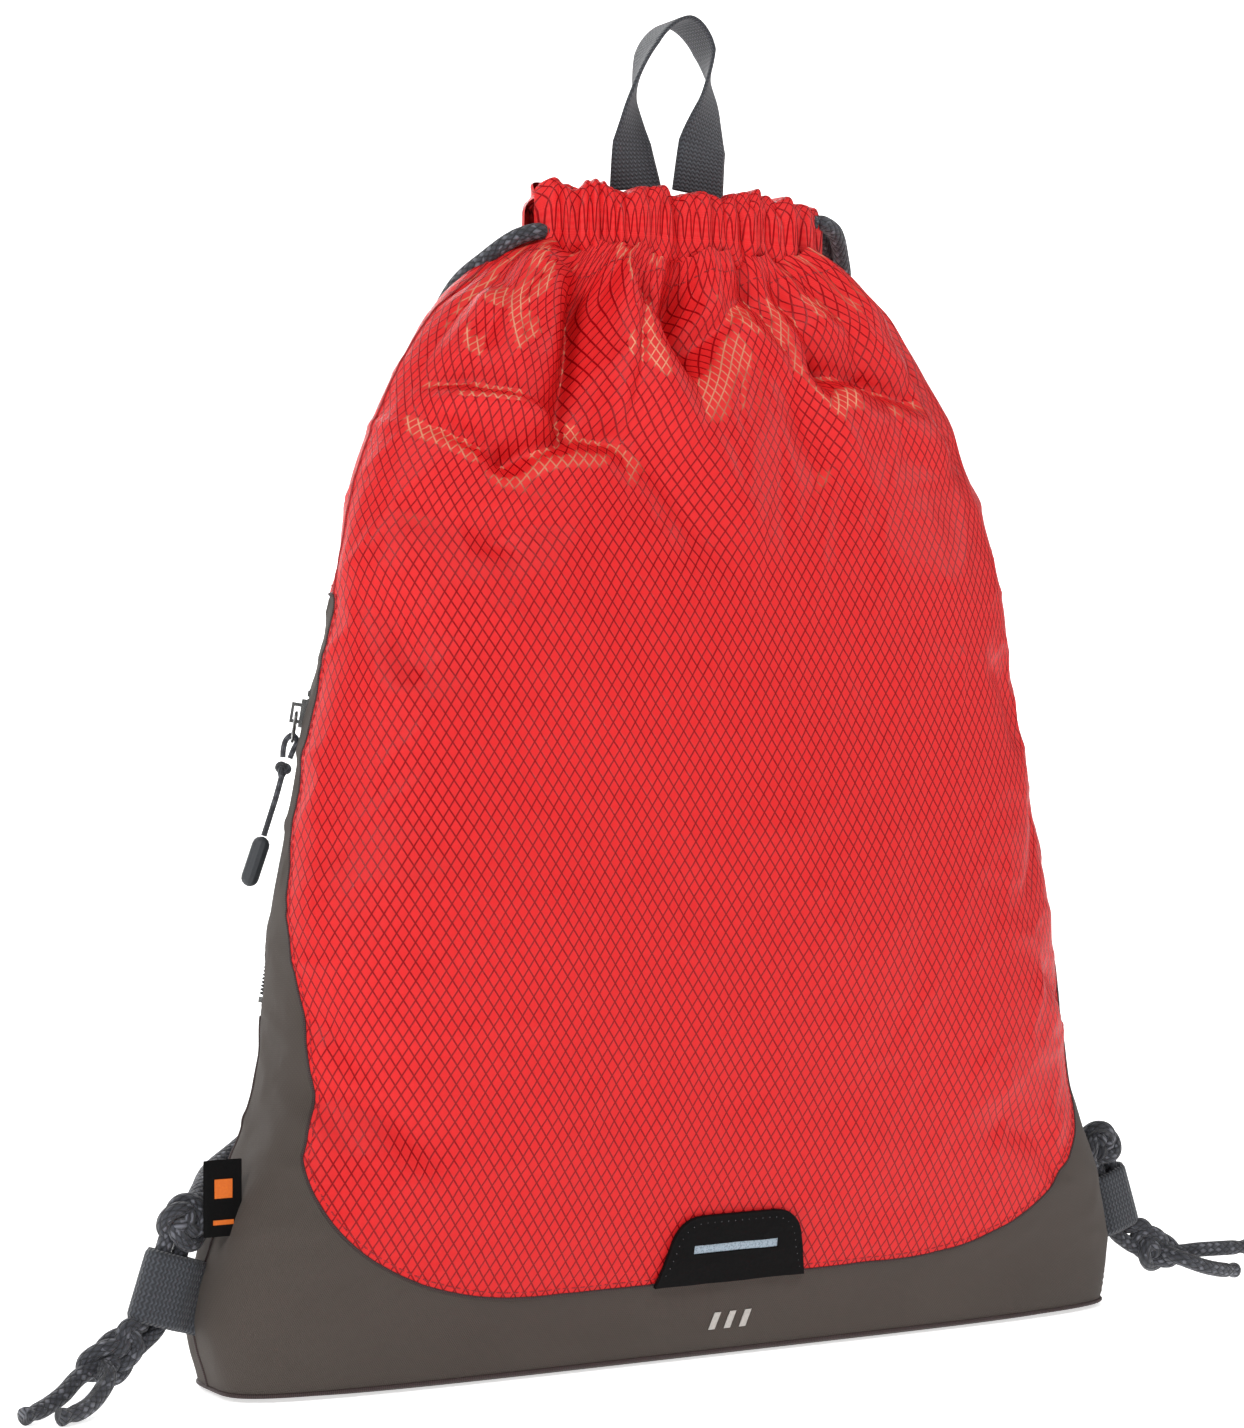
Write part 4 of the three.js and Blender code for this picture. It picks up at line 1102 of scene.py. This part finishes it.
def tunnel_run(half, own_side, z):
    """The cord's way through one half of the tunnel, and out at its own side."""
    exit_x, exit_y = HEM_HALF_WIDTH + 0.0065, 0.004
    angles = np.linspace(-math.pi / 2 + 0.32, math.pi / 2, 21)[1:-1]
    x, y = tunnel_centre(half, angles)
    y = y - half * neck_fold(-own_side * x, half)
    points = [(-exit_x + 0.0005, half * exit_y, z), (-exit_x + 0.004, half * exit_y, z)]
    points += [(a, b, z) for a, b in zip(x, y)]
    points += [(HEM_HALF_WIDTH, half * 0.0036, z), (HEM_HALF_WIDTH, half * 0.00025, z)]
    return [(-own_side * a, b, c) for a, b, c in points]


def build_tunnel_cords():
    for side, word in SIDES:
        for half, half_word in ((-1, "front"), (1, "back")):
            path = smooth_path(tunnel_run(half, side, LOW_RUN_Z if side < 0 else HIGH_RUN_Z), 0.0012)
            obj = tube_mesh(f"tunnel_cord_{half_word}_{word}", path, CORD_R, BRAID, sides=14)
            on_bag(obj, "cord_braid", f"cord_run_{half_word}_{word}")


# ---- Webbing ----
def strap(name, path, wide, material, width=WEB_WIDTH, thick=WEB_THICK):
    """A woven strap: a flat band with soft edges along a path, its width along wide (one per point)."""
    p, w = np.asarray(path, float), np.asarray(wide, float)
    tangent = unit(np.gradient(p, axis=0))
    w = unit(w - tangent * (w * tangent).sum(1)[:, None])
    normal = np.cross(tangent, w)
    along = lengths_along(p)
    half = np.linspace(-1, 1, 15)
    lift = np.sqrt(np.maximum(0, 1 - np.abs(half) ** 14))
    upper = list(zip(half, lift))
    loop = upper + [(a, -b) for a, b in upper[::-1][1:-1]]
    points, flat = [], []
    for i in range(len(p)):
        for a, b in loop:
            points.append(p[i] + w[i] * a * width / 2 + normal[i] * b * thick / 2)
            flat.append((a * width / 2, along[i], 0))
    count = len(loop)
    faces = grid_faces(len(p), count, closed=True)
    faces.append(tuple(range(count))[::-1])
    faces.append(tuple((len(p) - 1) * count + k for k in range(count)))
    return new_mesh(name, points, faces, material, {"flat": flat})


LOOP_Y = 0.0076
LOOP_FOOT = HEM_HIGH + 0.002
LOOP_POINTS = (
    (-0.0135, LOOP_Y, LOOP_FOOT), (-0.0155, LOOP_Y - 0.001, 0.443), (-0.015, LOOP_Y - 0.002, 0.462),
    (-0.008, LOOP_Y - 0.002, 0.481), (0.004, LOOP_Y - 0.002, 0.489), (0.0145, LOOP_Y - 0.002, 0.480),
    (0.017, LOOP_Y - 0.002, 0.462), (0.0145, LOOP_Y - 0.001, 0.443), (0.0132, LOOP_Y, LOOP_FOOT),
)
LOOP_TWISTS = (0.9, 0.72, 0.36, 0.1, 0, -0.14, -0.5, -0.84, -0.9)  # quarter turns, from width along Y


def build_haul_loop():
    path = smooth_path(LOOP_POINTS, 0.0009)
    at = np.linspace(0, len(LOOP_TWISTS) - 1, len(path))
    twist = -np.interp(at, np.arange(len(LOOP_TWISTS)), LOOP_TWISTS) * math.pi / 2
    tangent = np.gradient(path, axis=0)
    wide = []
    for t, angle in zip(tangent, twist):
        axis = Vector(t).normalized()
        start = (Vector((0, 1, 0)) - axis * axis.y).normalized()
        wide.append(tuple(start * math.cos(angle) + axis.cross(start) * math.sin(angle)))
    on_bag(strap("haul_loop_strap", path, wide, WEBBING), "webbing", "haul_loop", body="loop")
    for x, word in ((-0.0135, "left"), (0.0132, "right")):
        low, high = HEM_LOW + 0.002, LOOP_FOOT - 0.004
        points = [(x, LOOP_Y, z) for z in np.linspace(low, high, 12)]
        obj = strap(f"strap_end_{word}", points, [(1, 0, 0)] * 12, WEBBING)
        on_bag(obj, "webbing", f"haul_loop_end_{word}")


def build_tabs():
    half_gap, layer = 0.0036 + WEB_THICK / 2, WEB_THICK * 0.62
    swell, fold = TAB_REACH - 0.009, TAB_END - 0.0055
    outline = [(0.0045, -layer), (swell - 0.004, -layer), (swell + 0.003, -half_gap), (fold, -half_gap)]
    arc = [(fold + (TAB_END - fold - WEB_THICK / 2) * math.cos(a), half_gap * math.sin(a))
           for a in np.linspace(-math.pi / 2, math.pi / 2, 9)[1:-1]]
    outline += arc + [(x, -y) for x, y in outline[::-1]]
    for side, word in SIDES:
        points = []
        for reach, y in outline:
            p = TAB_SEAM + TAB_ALONG * reach
            points.append((side * p.x, p.y + y, p.z))
        path = smooth_path(points, 0.0007)
        wide = [(side * TAB_ACROSS.x, 0, TAB_ACROSS.z)] * len(path)
        on_bag(strap(f"corner_tab_strap_{word}", path, wide, WEBBING), "webbing", f"corner_tab_{word}")
        build_tab_stitches(side, word)


def build_tab_stitches(side, word):
    """A box of stitches that closes the tab's channel."""
    points, faces, braid = [], [], []
    for reach in (0.0105, 0.0128):
        for k in range(9):
            middle = TAB_SEAM + TAB_ALONG * reach + TAB_ACROSS * (-0.0105 + k * 0.0026)
            for face in (-1, 1):
                base = len(points)
                for i, t in enumerate((-0.0010, 0, 0.0010)):
                    for q in range(6):
                        a = q * TURN / 6
                        spot = middle + TAB_ACROSS * t + TAB_ALONG * (0.00028 * math.cos(a))
                        lift = (0.0024 if reach < 0.012 else 0.0034) + 0.00028 * math.sin(a)
                        points.append((side * spot.x, spot.y + face * lift, spot.z))
                        braid.append((t, a, 0))
                faces += [tuple(base + n for n in f) for f in grid_faces(3, 6, closed=True)]
    obj = new_mesh(f"tab_stitches_{word}", points, faces, GREY_THREAD, {"braid": braid})
    on_bag(obj, "webbing")


# ---- Patch, print and label ----
def surface_patch(name, outline, material, thick, lift, hole=None):
    """A thin shape laid on the body's front: outline is x, z; it follows the cloth below."""
    curve = bpy.data.curves.new(name, "CURVE")
    curve.dimensions = "2D"
    curve.fill_mode = "BOTH"
    for loop in (outline, hole):
        if loop is None:
            continue
        spline = curve.splines.new("POLY")
        spline.points.add(len(loop) - 1)
        for point, (x, z) in zip(spline.points, loop):
            point.co = (x, z, 0, 1)
        spline.use_cyclic_u = True
    curve.extrude = thick / 2
    curve.bevel_depth = min(thick * 0.3, 0.0002)
    source = bpy.data.objects.new(name + "_flat", curve)
    bpy.context.scene.collection.objects.link(source)
    mesh = bpy.data.meshes.new_from_object(source.evaluated_get(bpy.context.evaluated_depsgraph_get()))
    bpy.data.objects.remove(source)
    mesh.name = name
    obj = bpy.data.objects.new(name, mesh)
    bpy.context.scene.collection.objects.link(obj)
    cut_up(mesh)
    coordinates = np.zeros(len(mesh.vertices) * 3)
    mesh.vertices.foreach_get("co", coordinates)
    coordinates = coordinates.reshape(-1, 3)
    flat = coordinates.copy()
    shares = np.array([share_at(x, z) for x, z, _ in coordinates])
    placed = skin_at(shares, coordinates[:, 1], lift + coordinates[:, 2])
    mesh.vertices.foreach_set("co", placed.reshape(-1))
    layer = mesh.attributes.new("flat", "FLOAT_VECTOR", "POINT")
    layer.data.foreach_set("vector", flat.astype(np.float32).reshape(-1))
    mesh.materials.clear()
    mesh.materials.append(material)
    mesh.update()
    return obj


def cut_up(mesh):
    """Divides a flat mesh finely enough to follow the cloth."""
    work = bmesh.new()
    work.from_mesh(mesh)
    bmesh.ops.remove_doubles(work, verts=work.verts, dist=1e-7)
    for axis, low, high in ((0, -0.034, 0.034), (1, 0.004, 0.058)):
        for value in np.arange(low, high, 0.003):
            normal = (1, 0, 0) if axis == 0 else (0, 1, 0)
            place = (value, 0, 0) if axis == 0 else (0, value, 0)
            everything = list(work.verts) + list(work.edges) + list(work.faces)
            bmesh.ops.bisect_plane(work, geom=everything, plane_co=place, plane_no=normal, dist=1e-6)
    work.to_mesh(mesh)
    work.free()


PATCH_FOOT = 0.0295
PATCH_TALL = 0.025


def patch_outline(inset=0.0):
    """The patch: straight foot, leaning sides and rounded top corners."""
    half_foot, half_side, half_top = 0.0315 - inset, 0.0275 - inset, 0.015 - inset * 0.4
    low, high = PATCH_FOOT + inset, PATCH_FOOT + PATCH_TALL - inset
    side_z = high - 0.011
    corner = []
    for t in np.linspace(0, 1, 9):
        x = half_side * (1 - t) ** 2 + 2 * (half_side - 0.002) * t * (1 - t) + half_top * t * t
        z = side_z * (1 - t) ** 2 + 2 * high * t * (1 - t) + high * t * t
        corner.append((x, z))
    right = [(half_foot, low)] + corner
    return right + [(-x, z) for x, z in right[::-1]]


def build_patch():
    low, high = PATCH_FOOT + 0.0112, PATCH_FOOT + 0.0148
    slot = [(-0.018, low), (0.018, low), (0.018, high), (-0.018, high)]
    obj = surface_patch("patch_face", patch_outline(), BLACK, 0.0012, 0.0012, slot)
    on_bag(obj, "black_trim", "reflector_patch")
    bar = [(-0.0176, low + 0.0004), (0.0176, low + 0.0004), (0.0176, high - 0.0004), (-0.0176, high - 0.0004)]
    obj = surface_patch("patch_reflective_bar", bar, REFLECTIVE, 0.0006, 0.0010)
    on_bag(obj, "reflective_tape", "reflective_bar")
    places = [(share_at(x, z), z) for x, z in patch_outline(0.0022)]
    obj = stitches("patch_stitches", dense(places, 14), 0.0020, 0.0009, 0.00024, GREY_THREAD, 0.0021)
    on_bag(obj, "black_trim")


def dense(places, times):
    share, z = np.array(places).T
    at = np.linspace(0, len(share) - 1, times * len(share))
    return list(zip(np.interp(at, np.arange(len(share)), share), np.interp(at, np.arange(len(z)), z)))


def build_print():
    """A plain printed mark on the foot: three leaning silver bars."""
    for k, word in enumerate(("first", "second", "third")):
        x, half, lean, low, tall = -0.0045 + 0.0065 * k, 0.0013, 0.0022, 0.0105, 0.0062
        foot = [(x - half, low), (x + half, low)]
        outline = foot + [(a + lean, b + tall) for a, b in foot[::-1]]
        obj = surface_patch(f"print_bar_{word}", outline, SILVER_PRINT, 0.00016, 0.00022)
        on_bag(obj, "reflective_tape")


LABEL_LOW, LABEL_HIGH, LABEL_Y = 0.056, 0.082, -0.0105
LABEL_OUT = 0.1935


def build_label():
    """A folded flag label: black satin with a plain orange square and a line."""
    body_x = 0.1796
    rows, columns = 16, 12
    points = []
    for face in (-1, 1):
        for i in range(rows):
            z = LABEL_LOW + (LABEL_HIGH - LABEL_LOW) * i / (rows - 1)
            for j in range(columns):
                t = j / (columns - 1)
                x = -(body_x + (LABEL_OUT - body_x) * t)
                curl = 0.0006 * math.sin(2.5 * t) * math.sin(3 * i / rows)
                points.append((x, LABEL_Y + face * 0.00045 * math.sqrt(max(0.0, 1 - t**8)) + curl * 0.5, z))
    count = rows * columns
    faces = grid_faces(rows, columns)
    faces += [tuple(count + i for i in f[::-1]) for f in grid_faces(rows, columns)]
    for i in range(rows - 1):
        a, b = i * columns + columns - 1, (i + 1) * columns + columns - 1
        faces.append((a, b, b + count, a + count))
    on_bag(new_mesh("label_flag", points, faces, BLACK), "black_trim", "side_label")
    marks = (("square", 0.0690, 0.0755, 0.0035, 0.0100), ("line", 0.0600, 0.0616, 0.0030, 0.0105))
    for word, low, high, near, far in marks:
        corners = []
        for y in (LABEL_Y - 0.00062, LABEL_Y - 0.0004):
            for x, z in ((near, low), (far, low), (far, high), (near, high)):
                corners.append((-(body_x + x), y, z))
        shape = [(0, 1, 2, 3), (7, 6, 5, 4), (0, 4, 5, 1), (1, 5, 6, 2), (2, 6, 7, 3), (3, 7, 4, 0)]
        on_bag(new_mesh(f"label_{word}", corners, shape, ORANGE, smooth=False), "black_trim")


# ---- Zip ----
def zip_frame():
    """The zip's own directions: into the bag, backwards and up, and its top point."""
    top = wall_point(-1, ZIP_Y, ZIP_TOP)
    run = top - wall_point(-1, ZIP_Y, ZIP_FOOT)
    up = run.normalized()
    rear = up.cross(Vector((math.cos(ZIP_TURN), -math.sin(ZIP_TURN), 0))).normalized()
    return top, rear.cross(up), rear, up, run.length


def wall_point(side, y, z):
    w, d, n = (float(v) for v in section(z))
    return Vector((side * w * (1 - abs(y / d) ** n) ** (1 / n), y, z))


def build_zip():
    top, inward, rear, up, length = zip_frame()
    place = lambda deep, back, high: top + inward * deep + rear * back + up * high
    tape_width, coil_gap, tape_deep, coil_deep = 0.006, 0.00055, 0.0048, 0.00245
    for side, word in ((-1, "front"), (1, "rear")):
        middle = side * (coil_gap + tape_width / 2)
        path = [place(tape_deep, middle, -length * t) for t in np.linspace(0, 1, 60)]
        tape = strap(f"tape_{word}", path, [rear] * 60, ZIP_TAPE, tape_width, 0.0008)
        on_bag(tape, "zip_tape", f"zip_tape_{word}")
        build_coil(place, side, word, length, coil_gap, coil_deep)
    for node in ("zip_slider", "puller_ring", "zip_top_stop", "zip_bottom_stop"):
        set_material(node, METAL)
    set_material("pull_grip", RUBBER)
    build_pull(place)


def build_coil(place, side, word, length, coil_gap, coil_deep):
    """The nylon coil of one side: a flattened helix."""
    pitch = 0.0013
    start, end = 0.007, length - 0.007
    turns = (end - start) / pitch
    t = np.linspace(0, turns, int(turns * 12))
    path = []
    for value in t:
        angle = value * TURN
        back = side * (coil_gap + 0.0008) + 0.0006 * math.cos(angle)
        deep = coil_deep + 0.0009 * math.sin(angle)
        path.append(place(deep, back, -(start + value * pitch)))
    obj = tube_mesh(f"coil_{word}", path, 0.00025, COIL, sides=5)
    on_bag(obj, "zip_coil", f"zip_coil_{word}")


def set_material(node, material):
    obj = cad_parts[node]
    obj.data.materials.clear()
    obj.data.materials.append(material)
    bevel = obj.modifiers.new("soft_edges", "BEVEL")
    bevel.width = 0.0002
    bevel.segments = 2
    bevel.limit_method = "ANGLE"


def build_pull(place):
    """The doubled pull cord with its knot; the moulded grip keeps its own shape."""
    ring_x, ring_drop, slider_z = 0.0004 - 0.0019, 0.010, -0.013
    local = lambda x, y, z: place(ring_x + x, y, slider_z - ring_drop + z)
    radius = 0.0010
    loop = ((-0.0023, 0, -0.0062), (-0.0026, 0, -0.003), (-0.0021, 0, 0.0002), (-0.0002, 0, 0.0021),
            (0.0017, 0, 0.0002), (0.0009, 0, -0.003), (0.0002, 0, -0.0062))
    path = smooth_path([local(*p) for p in loop], 0.0004)
    on_bag(tube_mesh("pull_loop", path, radius, BRAID, 12), "cord_braid", "pull_cord_loop", body="pull")
    centre = np.array(local(-0.0016, 0, -0.0104))
    path = knot_path(centre, (0.0021, 0.0017, 0.0023), 0.3)
    knot = tube_mesh("pull_knot", path, radius * 1.05, BRAID, 12, ends=False)
    on_bag(knot, "cord_braid", "pull_cord_knot", body="pull")
    for letter, y in (("a", -0.00115), ("b", 0.00115)):
        route = ((-0.0016, y, -0.0125), (-0.0024, y, -0.020), (-0.0034, y, -0.027), (-0.0045, y, -0.0345))
        path = smooth_path([local(*p) for p in route], 0.0005)
        cord = tube_mesh(f"pull_strand_{letter}", path, radius, BRAID, 12)
        on_bag(cord, "cord_braid", f"pull_cord_strand_{letter}", body="pull")


def build_pocket():
    """The zip pocket's pouch: one cloth folded round its inner edge."""
    top, inward, rear, up, length = zip_frame()
    deep, near, half = 0.0675, 0.0075, 0.0024
    fold = [(near, -half), (deep - half, -half)]
    fold += [(deep - half + half * math.cos(a), half * math.sin(a)) for a in np.linspace(-1.2, 1.2, 5)]
    fold += [(deep - half, half), (near, half)]
    line = smooth_path([(a, b, 0) for a, b in fold], 0.003)
    tall = length - 0.028
    rows = np.linspace(-length / 2 - tall / 2, -length / 2 + tall / 2, 40)
    points, flat = [], []
    along = lengths_along(line)
    for high in rows:
        for (a, b, _), run in zip(line, along):
            points.append(tuple(top + inward * a + rear * b + up * high))
            flat.append((run, high, 0))
    obj = new_mesh("pocket_pouch", points, grid_faces(len(rows), len(line)), LINING, {"flat": flat})
    on_bag(obj, "lining", "pocket_lining")


# ---- Camera, floor and light ----
CAMERA_TURN = math.radians(30)
CAMERA_DISTANCE = 1.260
CAMERA_SHIFT = -0.0205
CAMERA_HEIGHT = 0.244
CAMERA_DOWN = math.radians(0.52)


def build_camera():
    camera = bpy.data.objects.new("camera", bpy.data.cameras.new("camera"))
    bpy.context.scene.collection.objects.link(camera)
    right = Vector((math.cos(CAMERA_TURN), -math.sin(CAMERA_TURN), 0))
    ahead = Vector((math.sin(CAMERA_TURN), math.cos(CAMERA_TURN), 0))
    camera.location = right * CAMERA_SHIFT - ahead * CAMERA_DISTANCE + Vector((0, 0, CAMERA_HEIGHT))
    camera.rotation_euler = (math.pi / 2 - CAMERA_DOWN, 0, -CAMERA_TURN)
    camera.data.lens = 86.0
    camera.data.sensor_width = 36.0
    camera.data.sensor_fit = "AUTO"
    bpy.context.scene.camera = camera


def area_light(name, place, target, size, power, colour=(1, 1, 1)):
    data = bpy.data.lights.new(name, "AREA")
    data.size = size
    data.energy = power
    data.color = colour
    obj = bpy.data.objects.new(name, data)
    obj.location = place
    obj.rotation_euler = (Vector(target) - Vector(place)).to_track_quat("-Z", "Y").to_euler()
    bpy.context.scene.collection.objects.link(obj)


def studio_plane(name, material_name, corners, roughness, glow):
    """A pale plane that glows a little, so that it stays white."""
    white = linear(255, 255, 255)
    n = Nodes(material_name, roughness=roughness, Emission_Color=white, Emission_Strength=glow)
    new_mesh(name, corners, [(0, 1, 2, 3)], n.finish(linear(250, 250, 250)), smooth=False)


def build_stage():
    studio_plane("floor", "pale_floor", [(-6, -6, 0), (6, -6, 0), (6, 6, 0), (-6, 6, 0)], 0.9, 0.62)
    wall = [(-5, 4, -0.5), (5, 4, -0.5), (5, 4, 5), (-5, 4, 5)]
    studio_plane("backdrop", "white_backdrop", wall, 1.0, 1.0)
    world = bpy.data.worlds.new("studio")
    world.use_nodes = True
    world.node_tree.nodes["Background"].inputs[0].default_value = (1, 1, 1, 1)
    world.node_tree.nodes["Background"].inputs[1].default_value = 0.13
    bpy.context.scene.world = world
    bpy.context.scene.view_settings.view_transform = "Standard"
    middle = (0, 0, 0.22)
    area_light("left_box", (-1.5, -0.9, 1.3), middle, 0.5, 16)
    area_light("right_box", (1.4, -0.5, 1.0), middle, 0.5, 6)
    area_light("front_box", (-0.3, -1.6, 1.9), middle, 0.6, 13)
    area_light("floor_wash", (0, 2.2, 1.8), (0, 1.0, 0), 1.6, 26)


build_camera()
build_cords()
build_tunnel_cords()
build_base()
build_boot()
build_back()
build_yoke()
build_front()
for hem_side, hem_word, hem_seed in ((-1, "front", 21), (1, "back", 34)):
    build_hem(hem_side, hem_word, hem_seed)
build_seams()
build_haul_loop()
build_tabs()
build_patch()
build_print()
build_label()
build_zip()
build_pocket()
build_stage()
